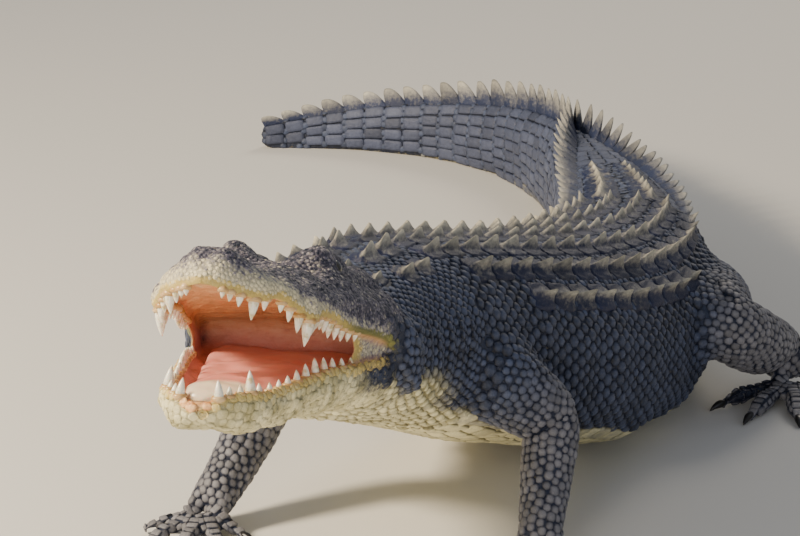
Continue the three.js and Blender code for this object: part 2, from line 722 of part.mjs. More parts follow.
// The neck: a row of small plates behind the skull, then a shield of large ones
const NECK_PLATES = [
  [66, 20, 34, 30, 11],
  [60, 58, 30, 28, 10],
  [134, 27, 54, 46, 20],
  [128, 76, 44, 40, 15],
  [190, 27, 50, 46, 19],
  [186, 78, 40, 38, 13],
];

function neckPlates() {
  const plates = [];
  for (const [along, distance, length, width, height] of NECK_PLATES) {
    for (const side of [1, -1]) {
      const varied = height * vary(along + side * distance, 0.1);
      plates.push(plate(skinFrame(along, side * distance), length, width, varied));
    }
  }
  return plates;
}

function tailPlates(from, to) {
  const plates = [];
  for (const { ring, middle, length, apart } of tailRings) {
    const [height] = CREST_HEIGHTS(ring);
    if (middle > from && middle < to) {
      const { half } = bodyFrame(middle);
      const width = Math.min(CREST_WIDTH, half * 0.8);
      for (const side of apart > 0 ? [1, -1] : [0]) {
        const varied = height * vary(ring * 3 + side, 0.08);
        const frame = splayed(skinFrame(middle, side * apart), (CREST_SPLAY * side * apart) / MOST_APART);
        plates.push(ridgePlate(frame, length, width, varied, CREST_KEEL));
      }
      if (ring < INNER_RINGS) {
        for (const side of [1, -1]) {
          const frame = skinFrame(middle, side * half * INNER_PLATE_PLACE);
          const width = half * INNER_PLATE_WIDTH;
          plates.push(ridgePlate(frame, length * PLATE_COVER, width, INNER_PLATE_HEIGHT - ring, TRUNK_KEEL));
        }
      }
    }
  }
  return plates;
}

// Neck, torso and tail
const withPlates = (body, plates) => body.add(wasm.Manifold.union(plates));

function neck() {
  const raw = withPlates(bodyLoft(BODY_ROWS[0][0] + CUT_SPARE, NECK_TORSO_CUT), neckPlates());
  return largest(cutBehind(behindHead(raw), NECK_TORSO_CUT));
}

function bodyLength(from, to, plates) {
  const raw = withPlates(bodyLoft(from, to), plates);
  return largest(aboveFloor(cutBehind(cutInFront(raw, from), to)));
}

function tailEnd(from) {
  const raw = withPlates(bodyLoft(from, BODY_END - CUT_SPARE), tailPlates(from, BODY_END));
  return largest(aboveFloor(cutInFront(raw, from)));
}

// Legs: rounded sections along the bones, then toes with claws
// Joints of a leg: along, out from the midline, height; sections: width across, thickness
const FRONT_LEG = {
  joints: [
    [300, 62, 236], [292, 118, 222], [318, 156, 190], [352, 184, 148], [312, 196, 92], [262, 206, 46],
    [232, 214, 22],
  ],
  sections: [[52, 60], [50, 58], [38, 46], [34, 36], [29, 33], [24, 27], [30, 20]],
  foot: { palm: [232, 214], toes: [[-66, 66], [-34, 84], [-6, 92], [24, 86], [56, 68]] },
};
const HIND_LEG = {
  joints: [
    [1056, 54, 112], [1030, 96, 118], [960, 140, 128], [896, 176, 128], [944, 206, 90], [1006, 226, 50],
    [996, 242, 22],
  ],
  sections: [[62, 60], [60, 58], [54, 54], [44, 46], [39, 42], [30, 34], [34, 24]],
  foot: { palm: [996, 242], toes: [[-38, 112], [-12, 132], [14, 128], [42, 104]] },
};
const LEG_POINTS = 10;
const LEG_RINGS = 11;
const TOE_POINTS = 6;
const TOE_RINGS = 3;
// A toe from the wrist to the claw: share of its reach and height, then half width and thickness
const WRIST_HEIGHT = 18;
const TOE_LINE = [[0.12, 18], [0.55, 16], [1, 9], [1.2, 3]];
const TOE_SECTIONS = [[13, 12], [11, 10], [8, 8], [1.5, 2]];

function besideSpine(along, out, height, side) {
  const { centre, left } = bodyFrame(along);
  const point = centre.clone().addScaledVector(left, side * out);
  point.z = height;
  return point;
}

// A rounded limb through a few centres, each with its half width and half thickness
function limb(centres, sizes, count, pieces) {
  const path = new THREE.CatmullRomCurve3(centres);
  const rings = [];
  for (let i = 0; i <= pieces; i += 1) {
    const t = i / pieces;
    const centre = path.getPoint(t);
    const along = path.getTangent(t);
    const across = along.clone().cross(vector(0, 0, 1));
    if (across.length() < 0.2) across.copy(vector(1, 0, 0));
    across.normalize();
    const over = across.clone().cross(along).normalize();
    const row = Math.min(t * (sizes.length - 1), sizes.length - 1.001);
    const k = Math.floor(row);
    const mix = row - k;
    const wide = THREE.MathUtils.lerp(sizes[k][0], sizes[k + 1][0], mix);
    const thick = THREE.MathUtils.lerp(sizes[k][1], sizes[k + 1][1], mix);
    const ring = [];
    for (let j = 0; j < count; j += 1) {
      const angle = (j * 2 * Math.PI) / count;
      ring.push(centre.clone()
        .addScaledVector(across, Math.cos(angle) * wide)
        .addScaledVector(over, Math.sin(angle) * thick));
    }
    rings.push(ring);
  }
  return loft(rings);
}

function leg(shape, side) {
  const joints = shape.joints.map(([along, out, height]) => besideSpine(along, out, height, side));
  const pieces = [limb(joints, shape.sections, LEG_POINTS, LEG_RINGS)];
  const [palmAlong, palmOut] = shape.foot.palm;
  const { left, back } = bodyFrame(palmAlong);
  const flatBack = back.clone().setZ(0).normalize();
  const wrist = besideSpine(palmAlong, palmOut, WRIST_HEIGHT, side);
  for (const [spread, reach] of shape.foot.toes) {
    const angle = radians(spread);
    const direction = flatBack.clone()
      .multiplyScalar(-Math.cos(angle))
      .addScaledVector(left, side * Math.sin(angle));
    const line = TOE_LINE.map(([share, height]) => (
      wrist.clone().addScaledVector(direction, reach * share).setZ(height)
    ));
    pieces.push(limb(line, TOE_SECTIONS, TOE_POINTS, TOE_RINGS));
  }
  return aboveFloor(wasm.Manifold.union(pieces));
}

// The torso and the root of the tail, grown by the joint gap, are cut out of the legs
const roomForBody = [[NECK_TORSO_CUT, TAIL_CUTS[0]], [TAIL_CUTS[0], TAIL_CUTS[1]]]
  .map(([from, to]) => bodyLoft(from, to, JOINT_GAP))
  .reduce((sum, room) => sum.add(room))
  .add(wasm.Manifold.union(trunkPlates(JOINT_GAP)));

// Finishes: colour, roughness
const FINISHES = {
  skin: [0x3a4450, 0.7],
  head: [0x4c505a, 0.65],
  jaw: [0xb9b28a, 0.65],
  tongue: [0xd98a7a, 0.5],
  eye: [0x2a2a18, 0.2],
};

const alligator = new THREE.Group();

function add(name, body, finish) {
  const mesh = body.getMesh();
  const geometry = new THREE.BufferGeometry();
  geometry.setAttribute('position', new THREE.BufferAttribute(new Float32Array(mesh.vertProperties), 3));
  geometry.setIndex(new THREE.BufferAttribute(new Uint32Array(mesh.triVerts), 1));
  geometry.computeVertexNormals();
  const [color, roughness] = FINISHES[finish];
  const material = new THREE.MeshStandardMaterial({ color, roughness, metalness: 0 });
  const piece = new THREE.Mesh(geometry, material);
  piece.name = name;
  alligator.add(piece);
}

add('head', head(), 'head');
add('lower_jaw', lowerJaw(), 'jaw');
add('tongue', tongueSolid(), 'tongue');
add('eye_left', ball(eyeCentre(1), EYE_RADIUS), 'eye');
add('eye_right', ball(eyeCentre(-1), EYE_RADIUS), 'eye');
add('neck', neck(), 'skin');
add('torso', bodyLength(NECK_TORSO_CUT, TAIL_CUTS[0], trunkPlates()), 'skin');
TAIL_CUTS.slice(0, -1).forEach((from, i) => {
  const to = TAIL_CUTS[i + 1];
  add(`tail_${i + 1}`, bodyLength(from, to, tailPlates(from, to)), 'skin');
});
add(`tail_${TAIL_CUTS.length}`, tailEnd(TAIL_CUTS.at(-1)), 'skin');
for (const [name, side] of [['left', 1], ['right', -1]]) {
  add(`leg_front_${name}`, largest(leg(FRONT_LEG, side).subtract(roomForBody)), 'skin');
  add(`leg_hind_${name}`, largest(leg(HIND_LEG, side).subtract(roomForBody)), 'skin');
}

export default alligator;
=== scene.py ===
import math

import bpy
import numpy as np
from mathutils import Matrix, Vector
from mathutils.bvhtree import BVHTree
from mathutils.kdtree import KDTree


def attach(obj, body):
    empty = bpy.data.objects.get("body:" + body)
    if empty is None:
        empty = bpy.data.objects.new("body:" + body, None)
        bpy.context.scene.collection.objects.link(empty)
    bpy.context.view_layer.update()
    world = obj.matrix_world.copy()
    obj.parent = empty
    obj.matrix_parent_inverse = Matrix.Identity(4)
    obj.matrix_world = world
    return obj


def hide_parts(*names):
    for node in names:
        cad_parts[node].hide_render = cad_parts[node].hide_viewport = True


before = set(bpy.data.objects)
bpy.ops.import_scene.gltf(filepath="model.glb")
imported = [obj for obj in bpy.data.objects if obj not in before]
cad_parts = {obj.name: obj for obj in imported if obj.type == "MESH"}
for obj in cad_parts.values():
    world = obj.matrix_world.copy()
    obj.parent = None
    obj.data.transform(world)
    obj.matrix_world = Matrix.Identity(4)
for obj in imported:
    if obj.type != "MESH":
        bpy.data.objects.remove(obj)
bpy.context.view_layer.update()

# The line of the body: an adult alligator of about three metres, lying in a curve with its forebody
# raised. The sections follow the solids: along is the distance behind the rear of the skull in
# millimetres, then heading, lean, height of the back, half width, depth and squareness.
MM = 0.001
BODY_ROWS = [
    (-60, 14, 16, 390, 118, 136, 2.3), (40, 14, 12, 390, 118, 156, 2.3),
    (130, 16, 5, 386, 124, 182, 2.3), (250, 21, 6, 372, 142, 216, 2.3),
    (400, 26, 9, 342, 166, 242, 2.2), (550, 28, 10, 306, 182, 254, 2.2),
    (700, 28, 8, 274, 182, 260, 2.2), (850, 25, 5, 250, 164, 252, 2.3),
    (1000, 14, 3, 234, 136, 238, 2.4), (1100, 6, 2, 224, 118, 228, 2.6),
    (1200, 1, 0, 212, 103, 218, 2.8), (1300, -2, 0, 200, 92, 206, 3.0),
    (1450, -4, 0, 186, 77, 192, 3.0), (1650, -5, 0, 166, 58, 172, 2.8),
    (1850, -9, 0, 148, 42, 152, 2.6), (2050, -20, 0, 126, 30, 132, 2.4),
    (2250, -46, 0, 100, 20, 108, 2.3), (2450, -76, 0, 70, 13, 77, 2.2),
    (2650, -98, 0, 30, 5, 38, 2.0),
]
BODY_END = 2640
ORIGIN_ALONG = 850
WIDEST_LEVEL = 0.55
BELLY_SQUARENESS = 2.8
SPINE_STEP = 10


def smooth_rows(rows):
    """A smooth curve through the rows of a table, for any number of places at once."""
    table = np.array(rows, float)
    places, values = table[:, 0], table[:, 1:]
    number = np.arange(len(table))
    before, after = np.maximum(number - 1, 0), np.minimum(number + 1, len(table) - 1)
    slopes = (values[after] - values[before]) / (places[after] - places[before])[:, None]

    def at(place):
        place = np.asarray(place, float)
        i = np.clip(np.searchsorted(places, place) - 1, 0, len(table) - 2)
        span = (places[i + 1] - places[i])[..., None]
        t = (place - places[i])[..., None] / span
        return (
            (2 * t**3 - 3 * t**2 + 1) * values[i]
            + (t**3 - 2 * t**2 + t) * span * slopes[i]
            + (3 * t**2 - 2 * t**3) * values[i + 1]
            + (t**3 - t**2) * span * slopes[i + 1]
        )

    return at


body_at = smooth_rows(BODY_ROWS)
spine_places = np.arange(BODY_ROWS[0][0], BODY_ROWS[-1][0] + 1, SPINE_STEP, float)
spine_headings = np.radians(body_at(spine_places + SPINE_STEP / 2)[:, 0])
spine_x = np.concatenate([[0], np.cumsum(np.sin(spine_headings) * SPINE_STEP)[:-1]])
spine_y = np.concatenate([[0], np.cumsum(np.cos(spine_headings) * SPINE_STEP)[:-1]])
spine_x -= np.interp(ORIGIN_ALONG, spine_places, spine_x)
spine_y -= np.interp(ORIGIN_ALONG, spine_places, spine_y)


def body_frame(along):
    """Centre and axes of the section at each place, in millimetres: to the left, up and tailward."""
    heading, lean, top, half, depth, square = np.moveaxis(body_at(along), -1, 0)
    turn, tilt = np.radians(heading), np.radians(lean)
    left = np.stack([np.cos(turn), -np.sin(turn), 0 * turn], -1)
    up = np.stack([np.sin(turn) * np.sin(tilt), np.cos(turn) * np.sin(tilt), np.cos(tilt)], -1)
    x = np.interp(along, spine_places, spine_x)
    y = np.interp(along, spine_places, spine_y)
    centre = np.stack([x, y, top - depth * WIDEST_LEVEL], -1)
    return centre, left, up, np.cross(up, left), half, depth, square


def body_point(along, angle, out=0.0):
    """Points of the skin in millimetres: the angle is 0 on the back and 90 on the left flank."""
    along, angle = np.broadcast_arrays(np.asarray(along, float), np.asarray(angle, float))
    centre, left, up, _, half, depth, square = body_frame(along)
    sine, cosine = np.sin(np.radians(angle)), np.cos(np.radians(angle))
    power = 2 / np.where(cosine > 0, square, BELLY_SQUARENESS)
    height = np.where(cosine > 0, depth * WIDEST_LEVEL, depth * (1 - WIDEST_LEVEL))
    across = (half + out) * np.sign(sine) * np.abs(sine) ** power
    rise = (height + out) * np.sign(cosine) * np.abs(cosine) ** power
    return centre + left * across[..., None] + up * rise[..., None]


ANGLE_STEPS = np.arange(0, 178.5, 1.5)


def angle_across(along, distance):
    """The angle round the section at a distance from the midline, measured over the skin."""
    along, distance = np.broadcast_arrays(np.asarray(along, float), np.asarray(distance, float))
    flat_along, flat_distance = along.ravel(), distance.ravel()
    line = body_point(flat_along[:, None], ANGLE_STEPS[None, :])
    strides = np.linalg.norm(np.diff(line, axis=1), axis=2)
    walked = np.concatenate([np.zeros((len(strides), 1)), np.cumsum(strides, axis=1)], axis=1)
    angles = [np.interp(abs(d), row, ANGLE_STEPS) for d, row in zip(flat_distance, walked)]
    return (np.sign(flat_distance) * np.array(angles)).reshape(along.shape)


# The head: an upper jaw thrown back and a lower jaw pushed down, so that the mouth gapes. Places are
# in parts of the head's length behind the tip of each jaw.
# Skull: place, half width, top, edge of the table (across, height), cheek (across, height), lip, palate
HEAD_LENGTH = 420
HEAD_YAW = 14
UPPER_JAW_PITCH = 22.9
LOWER_JAW_PITCH = 8.4
SNOUT_TIP_HEIGHT = 500
JAW_HINGE = (1.05, 0, -0.03)
LOWER_JAW_SETBACK = 0.02
SKULL_TOP = 0.16
HEAD_ROWS = [
    (-0.012, 0.012, 0.036, 0.005, 0.034, 0.010, 0.026, 0.012, 0.014),
    (0.004, 0.050, 0.062, 0.024, 0.058, 0.042, 0.036, 0.004, 0.010),
    (0.024, 0.078, 0.082, 0.042, 0.076, 0.072, 0.044, -0.002, 0.012),
    (0.060, 0.108, 0.100, 0.056, 0.092, 0.098, 0.050, -0.006, 0.016),
    (0.100, 0.132, 0.104, 0.062, 0.094, 0.118, 0.050, -0.010, 0.020),
    (0.155, 0.152, 0.094, 0.070, 0.084, 0.136, 0.046, 0.004, 0.024),
    (0.220, 0.178, 0.092, 0.078, 0.084, 0.160, 0.045, -0.010, 0.028),
    (0.300, 0.208, 0.098, 0.086, 0.088, 0.186, 0.046, -0.030, 0.030),
    (0.375, 0.210, 0.108, 0.092, 0.096, 0.188, 0.052, -0.010, 0.032),
    (0.450, 0.214, 0.118, 0.098, 0.110, 0.192, 0.058, -0.006, 0.034),
    (0.530, 0.226, 0.132, 0.104, 0.130, 0.202, 0.066, -0.014, 0.034),
    (0.600, 0.236, 0.150, 0.110, 0.158, 0.212, 0.074, -0.016, 0.034),
    (0.660, 0.245, 0.160, 0.122, 0.182, 0.220, 0.078, -0.014, 0.032),
    (0.730, 0.256, 0.164, 0.140, 0.180, 0.232, 0.080, -0.012, 0.028),
    (0.800, 0.268, 0.164, 0.158, 0.168, 0.246, 0.078, -0.012, 0.024),
    (0.850, 0.278, 0.164, 0.166, 0.167, 0.258, 0.072, -0.014, 0.014),
    (0.890, 0.286, 0.164, 0.170, 0.166, 0.268, 0.064, -0.030, -0.060),
    (0.940, 0.298, 0.162, 0.172, 0.164, 0.282, 0.052, -0.070, -0.110),
    (1.000, 0.310, 0.158, 0.168, 0.158, 0.296, 0.036, -0.100, -0.120),
    (1.070, 0.312, 0.146, 0.160, 0.144, 0.298, 0.024, -0.110, -0.130),
    (1.140, 0.300, 0.130, 0.150, 0.128, 0.284, 0.014, -0.110, -0.130),
]
# Lower jaw: place, half width, lip, lower edge, floor of the mouth
JAW_ROWS = [
    (-0.008, 0.016, -0.026, -0.050, -0.030), (0.010, 0.056, -0.006, -0.070, -0.014),
    (0.040, 0.088, 0.000, -0.086, -0.022), (0.090, 0.118, 0.004, -0.098, -0.030),
    (0.150, 0.134, -0.004, -0.104, -0.036), (0.250, 0.154, -0.006, -0.108, -0.042),
    (0.380, 0.178, 0.000, -0.112, -0.046), (0.500, 0.202, 0.006, -0.118, -0.046),
    (0.620, 0.224, 0.002, -0.126, -0.044), (0.740, 0.246, -0.002, -0.138, -0.040),
    (0.820, 0.262, -0.004, -0.148, -0.034), (0.860, 0.272, 0.002, -0.154, 0.010),
    (0.900, 0.280, 0.030, -0.160, 0.060), (0.960, 0.292, 0.060, -0.168, 0.080),
    (1.040, 0.302, 0.060, -0.174, 0.080), (1.120, 0.296, 0.050, -0.170, 0.070),
]
head_at = smooth_rows(HEAD_ROWS)
jaw_at = smooth_rows(JAW_ROWS)


def jaw_axes(pitch):
    """The axes of a jaw that is pitched up: tailward, to the left, and up."""
    yaw, pitch = math.radians(HEAD_YAW), math.radians(pitch)
    back = np.array([math.sin(yaw) * math.cos(pitch), math.cos(yaw) * math.cos(pitch), -math.sin(pitch)])
    left = np.array([math.cos(yaw), -math.sin(yaw), 0])
    return back, left, np.cross(left, back)


skull_axes = jaw_axes(UPPER_JAW_PITCH)
lower_axes = jaw_axes(LOWER_JAW_PITCH)
skull_rear = np.array([np.interp(0, spine_places, spine_x), np.interp(0, spine_places, spine_y)])
snout_reach = HEAD_LENGTH * (
    math.cos(math.radians(UPPER_JAW_PITCH)) + SKULL_TOP * math.sin(math.radians(UPPER_JAW_PITCH))
)
snout_tip = np.array([
    skull_rear[0] - snout_reach * math.sin(math.radians(HEAD_YAW)),
    skull_rear[1] - snout_reach * math.cos(math.radians(HEAD_YAW)),
    SNOUT_TIP_HEIGHT,
])


def placed(start, axes, back, left, up):
    """Points from shares of the head's length along three axes, in millimetres."""
    shares = np.stack(np.broadcast_arrays(back, left, up), -1) * HEAD_LENGTH
    return start + shares @ np.stack(axes)


def head_point(back, left, up):
    return placed(snout_tip, skull_axes, back, left, up)


hinge = head_point(*JAW_HINGE)


def jaw_point(back, left, up):
    return placed(hinge, lower_axes, back - JAW_HINGE[0] + LOWER_JAW_SETBACK, left, up - JAW_HINGE[2])


# The studio: a camera with a long lens, a little above the raised snout, a pale floor, a broad soft
# lamp high on the left as the low sun stands in the picture, and weaker ones on the right, in front of
# the mouth and behind.
CAMERA_ELEVATION = 15.5
CAMERA_DISTANCE = 4.2
FOCAL_PIXELS = 4129
PICTURE_WIDTH, PICTURE_HEIGHT = 800, 536
SNOUT_IN_PICTURE = (203, 288.7)
SENSOR = 36


def linear(text):
    """An sRGB colour in hex as linear red, green, blue and alpha."""
    shares = [int(text[i : i + 2], 16) / 255 for i in (1, 3, 5)]
    return (*(c / 12.92 if c <= 0.04045 else ((c + 0.055) / 1.055) ** 2.4 for c in shares), 1.0)


def node(tree, kind, inputs=None, **settings):
    """Adds a node with its settings; inputs are values or other nodes' outputs, by name or number."""
    made = tree.nodes.new(kind)
    for name, value in settings.items():
        setattr(made, name, value)
    for key, value in (inputs or {}).items():
        if isinstance(value, bpy.types.NodeSocket):
            tree.links.new(value, made.inputs[key])
        else:
            made.inputs[key].default_value = value
    return made


elevation = math.radians(CAMERA_ELEVATION)
sight = Vector((0, math.cos(elevation), -math.sin(elevation)))
picture_up = Vector((0, math.sin(elevation), math.cos(elevation)))
metres_per_pixel = CAMERA_DISTANCE / FOCAL_PIXELS
camera_data = bpy.data.cameras.new("camera")
camera_data.sensor_width = SENSOR
camera_data.lens = FOCAL_PIXELS / PICTURE_WIDTH * SENSOR
camera_data.clip_end = 100
camera = bpy.data.objects.new("camera", camera_data)
camera.location = (
    Vector(snout_tip * MM)
    - sight * CAMERA_DISTANCE
    - Vector((1, 0, 0)) * (SNOUT_IN_PICTURE[0] - PICTURE_WIDTH / 2) * metres_per_pixel
    + picture_up * (SNOUT_IN_PICTURE[1] - PICTURE_HEIGHT / 2) * metres_per_pixel
)
camera.rotation_euler = (math.pi / 2 - elevation, 0, 0)
bpy.context.scene.collection.objects.link(camera)
bpy.context.scene.camera = camera

FLOOR_HALF = 30
floor_mesh = bpy.data.meshes.new("floor")
floor_corners = [(x * FLOOR_HALF, y * FLOOR_HALF, 0) for x, y in ((-1, -1), (1, -1), (1, 1), (-1, 1))]
floor_mesh.from_pydata(floor_corners, [], [(0, 1, 2, 3)])
floor = bpy.data.objects.new("floor", floor_mesh)
bpy.context.scene.collection.objects.link(floor)
floor_paint = bpy.data.materials.new("matt studio paint")
floor_paint.use_nodes = True
paint = floor_paint.node_tree.nodes["Principled BSDF"]
paint.inputs["Base Color"].default_value = linear("#dcdad4")
paint.inputs["Roughness"].default_value = 0.9
floor_mesh.materials.append(floor_paint)

LAMPS = [
    ("key lamp", (-3.6, -1.2, 2.6), 1.0, 360, "#ffecce"),
    ("fill lamp", (2.6, -4.2, 1.8), 2.6, 20, "#d3e0ff"),
    ("mouth lamp", (-1.1, -4.7, 0.75), 1.0, 60, "#fff4e6"),
    ("rim lamp", (1.5, 4.0, 3.2), 1.8, 60, "#fff4e2"),
]
LIT_POINT = Vector((0, -0.4, 0.2))
for name, place, size, watts, colour in LAMPS:
    lamp_data = bpy.data.lights.new(name, "AREA")
    lamp_data.shape = "DISK"
    lamp_data.size = size
    lamp_data.energy = watts
    lamp_data.color = linear(colour)[:3]
    lamp = bpy.data.objects.new(name, lamp_data)
    lamp.location = place
    lamp.rotation_euler = (LIT_POINT - Vector(place)).to_track_quat("-Z", "Y").to_euler()
    bpy.context.scene.collection.objects.link(lamp)
world = bpy.data.worlds.new("studio air")
world.use_nodes = True
world.node_tree.nodes["Background"].inputs["Color"].default_value = linear("#dfe6f2")
world.node_tree.nodes["Background"].inputs["Strength"].default_value = 0.32
bpy.context.scene.world = world

# The skin: one thick hide over skull, jaws, neck, trunk, tail and legs, cast as one piece over a
# modelled core. Each region is a loft of rings; they are joined and the joins are smoothed.


def sections_of(corners, counts):
    """Smooth half sections through rows of corners (places, corners, 2), with counts steps a span."""
    first = corners[:, 1:2] * np.array([-1, 1])
    last = corners[:, -2:-1] * np.array([-1, 1])
    knots = np.concatenate([first, corners, last], axis=1)
    pieces = []
    for i, count in enumerate(counts):
        t = (np.arange(count) / count)[None, :, None]
        a, b, c, d = (knots[:, i + k][:, None, :] for k in range(4))
        pieces.append(0.5 * (2 * b + (c - a) * t + (2 * a - 5 * b + 4 * c - d) * t**2
                             + (3 * b - a - 3 * c + d) * t**3))
    return np.concatenate([*pieces, corners[:, -1:]], axis=1)


def both_halves(half):
    """A whole ring from its half: the right side is the left one mirrored."""
    right = half[:, 1:-1][:, ::-1] * np.array([-1, 1])
    return np.concatenate([half, right], axis=1)


GUM_WIDTH = 0.045


def skull_rings(place):
    """Across and height of each point of the rings of the upper jaw and skull."""
    half, top, table_x, table_z, cheek_x, cheek_z, lip, palate = head_at(place).T
    gum = np.minimum(GUM_WIDTH, half * 0.5)
    corners = np.stack([
        np.stack([0 * half, top], -1),
        np.stack([table_x, table_z], -1),
        np.stack([cheek_x, cheek_z], -1),
        np.stack([half, lip + 0.020], -1),
        np.stack([half - 0.001, lip + 0.006], -1),
        np.stack([half - 0.008, lip], -1),
        np.stack([half - gum * 0.45, lip + 0.004], -1),
        np.stack([half - gum, (lip + palate) / 2 + 0.004], -1),
        np.stack([half * 0.5, palate], -1),
        np.stack([0 * half, palate + 0.004], -1),
    ], 1)
    return both_halves(sections_of(corners, [14, 12, 14, 4, 4, 5, 6, 8, 8]))


def lower_rings(place):
    """Across and height of each point of the rings of the lower jaw."""
    half, lip, bottom, floor_level = jaw_at(place).T
    gum = np.minimum(GUM_WIDTH, half * 0.5)
    corners = np.stack([
        np.stack([0 * half, floor_level], -1),
        np.stack([half * 0.5, floor_level], -1),
        np.stack([half - gum, (floor_level + lip) / 2], -1),
        np.stack([half - gum * 0.45, lip - 0.004], -1),
        np.stack([half - 0.008, lip], -1),
        np.stack([half - 0.001, lip - 0.006], -1),
        np.stack([half, lip - 0.020], -1),
        np.stack([half * 0.97, (lip + bottom) / 2], -1),
        np.stack([half * 0.66, bottom * 0.93 + lip * 0.07], -1),
        np.stack([0 * half, bottom], -1),
    ], 1)
    return both_halves(sections_of(corners, [8, 8, 6, 5, 4, 4, 8, 10, 12]))


def normals_of(grid):
    """Outward normals of a closed loft given as (rings, points, 3)."""
    lengthways = np.gradient(grid, axis=0)
    round_ring = (np.roll(grid, -1, axis=1) - np.roll(grid, 1, axis=1)) / 2
    normal = np.cross(round_ring, lengthways)
    normal /= np.maximum(np.linalg.norm(normal, axis=2, keepdims=True), 1e-9)
    middle = grid.mean(axis=1, keepdims=True)
    outwards = np.sign(((grid - middle) * normal).sum())
    return normal * outwards


def swell(place, across, height, bumps):
    """Sum of soft bumps on both sides: place, across, height, their three radii, and rise in mm."""
    rise = np.zeros(np.broadcast_shapes(place.shape, across.shape))
    for s, x, z, rs, rx, rz, amount in bumps:
        for side in (1, -1) if x else (1,):
            away = ((place - s) / rs) ** 2 + ((across - side * x) / rx) ** 2 + ((height - z) / rz) ** 2
            rise += amount * np.exp(-away)
    return rise


SKULL_BUMPS = [
    (0.075, 0.034, 0.104, 0.034, 0.026, 0.05, 4.5),
    (0.045, 0.000, 0.100, 0.030, 0.030, 0.05, 2.0),
    (0.120, 0.000, 0.110, 0.020, 0.016, 0.05, -3.0),
    (0.185, 0.000, 0.100, 0.045, 0.035, 0.05, -2.5),
    (0.200, 0.075, 0.090, 0.060, 0.022, 0.05, 2.0),
    (0.086, 0.128, 0.030, 0.024, 0.030, 0.05, 3.0),
    (0.300, 0.205, 0.010, 0.035, 0.040, 0.05, 3.5),
    (0.400, 0.070, 0.108, 0.120, 0.024, 0.05, 2.5),
    (0.555, 0.050, 0.140, 0.032, 0.050, 0.05, -5.5),
    (0.570, 0.115, 0.150, 0.030, 0.030, 0.05, -5.0),
    (0.670, 0.000, 0.165, 0.070, 0.042, 0.05, -4.0),
    (0.655, 0.122, 0.190, 0.042, 0.034, 0.04, 8.5),
    (0.622, 0.100, 0.175, 0.030, 0.034, 0.05, 6.5),
    (0.672, 0.168, 0.140, 0.036, 0.020, 0.028, -6.0),
    (0.800, 0.215, 0.120, 0.060, 0.030, 0.040, -3.0),
    (0.720, 0.228, 0.066, 0.110, 0.030, 0.022, 3.0),
    (0.930, 0.140, 0.168, 0.050, 0.040, 0.05, 4.0),
    (0.860, 0.195, 0.135, 0.110, 0.030, 0.012, -7.0),
    (0.990, 0.290, 0.010, 0.060, 0.050, 0.070, 5.0),
    (0.083, 0.036, 0.118, 0.010, 0.007, 0.03, -9.0),
    (0.091, 0.041, 0.118, 0.008, 0.006, 0.03, -5.0),
]


rough_waves = np.random.default_rng(7)
WAVES = 26


def rough(points, size, amount):
    """Small irregular lumps of about the given size in millimetres: a sum of waves in all directions."""
    rise = np.zeros(points.shape[:-1])
    for _ in range(WAVES):
        direction = rough_waves.normal(size=3)
        direction *= 2 * np.pi / size / np.linalg.norm(direction) * rough_waves.uniform(0.6, 1.4) / 2
        rise += np.sin(points @ direction + rough_waves.uniform(0, 2 * np.pi))
    return rise * amount * math.sqrt(2 / WAVES)


def steps_between(*spans):
    """Places from spans of (from, to, step), each end used once."""
    return np.unique(np.concatenate([np.linspace(a, b, max(2, round((b - a) / s) + 1)) for a, b, s in spans]))


skull_places = steps_between((-0.012, 0.02, 0.004), (0.02, 0.14, 0.005), (0.14, 0.6, 0.0075),
                             (0.6, 0.76, 0.006), (0.76, 1.14, 0.009))
skull_flat = skull_rings(skull_places)
skull_grid = head_point(skull_places[:, None], skull_flat[..., 0], skull_flat[..., 1])
skull_out = normals_of(skull_grid)
skull_rise = swell(skull_places[:, None], skull_flat[..., 0], skull_flat[..., 1], SKULL_BUMPS)
outer_share = np.clip((skull_flat[..., 1] - head_at(skull_places)[:, 6, None]) / 0.03, 0, 1)
skull_rise = (skull_rise + rough(skull_grid, 9, 0.7) + rough(skull_grid, 40, 1.2)) * outer_share
skull_grid = skull_grid + skull_out * skull_rise[..., None]

lower_places = steps_between((-0.008, 0.02, 0.004), (0.02, 0.14, 0.006), (0.14, 1.12, 0.009))
lower_flat = lower_rings(lower_places)
lower_grid = jaw_point(lower_places[:, None], lower_flat[..., 0], lower_flat[..., 1])
lower_share = np.clip((jaw_at(lower_places)[:, 1, None] - lower_flat[..., 1]) / 0.02, 0, 1)
lower_grid = lower_grid + normals_of(lower_grid) * (
    (rough(lower_grid, 10, 0.6) + rough(lower_grid, 35, 1.4)) * lower_share
)[..., None]

BODY_STEP = 8.0
BODY_POINTS = 96
body_places = np.arange(-48, BODY_END, BODY_STEP)
body_angles = np.arange(BODY_POINTS) * 360 / BODY_POINTS
FOLD_LENGTH = 34
NECK_FOLDS_END = 330
body_grid = body_point(body_places[:, None], body_angles[None, :], 0.0)
flank_share = np.clip((1 - np.cos(np.radians(body_angles)) - 0.35) / 0.5, 0, 1)[None, :]
fold_share = np.clip((NECK_FOLDS_END - body_places) / 120, 0, 1)[:, None] * flank_share
folds = 2.2 * np.sin(body_places[:, None] / FOLD_LENGTH * 2 * np.pi + rough(body_grid, 90, 2.5)) * fold_share
folds = folds + rough(body_grid, 55, 1.6) * flank_share
body_grid = body_grid + normals_of(body_grid) * folds[..., None]
# The tip of the tail is rounded off over its last centimetres
TIP_LENGTH = 26
to_tip = np.clip((body_places[-1] - body_places) / TIP_LENGTH, 0, 1)
body_middle = body_frame(body_places)[0][:, None]
body_grid = body_middle + (body_grid - body_middle) * np.sqrt(1 - (1 - to_tip) ** 2 * 0.96)[:, None, None]

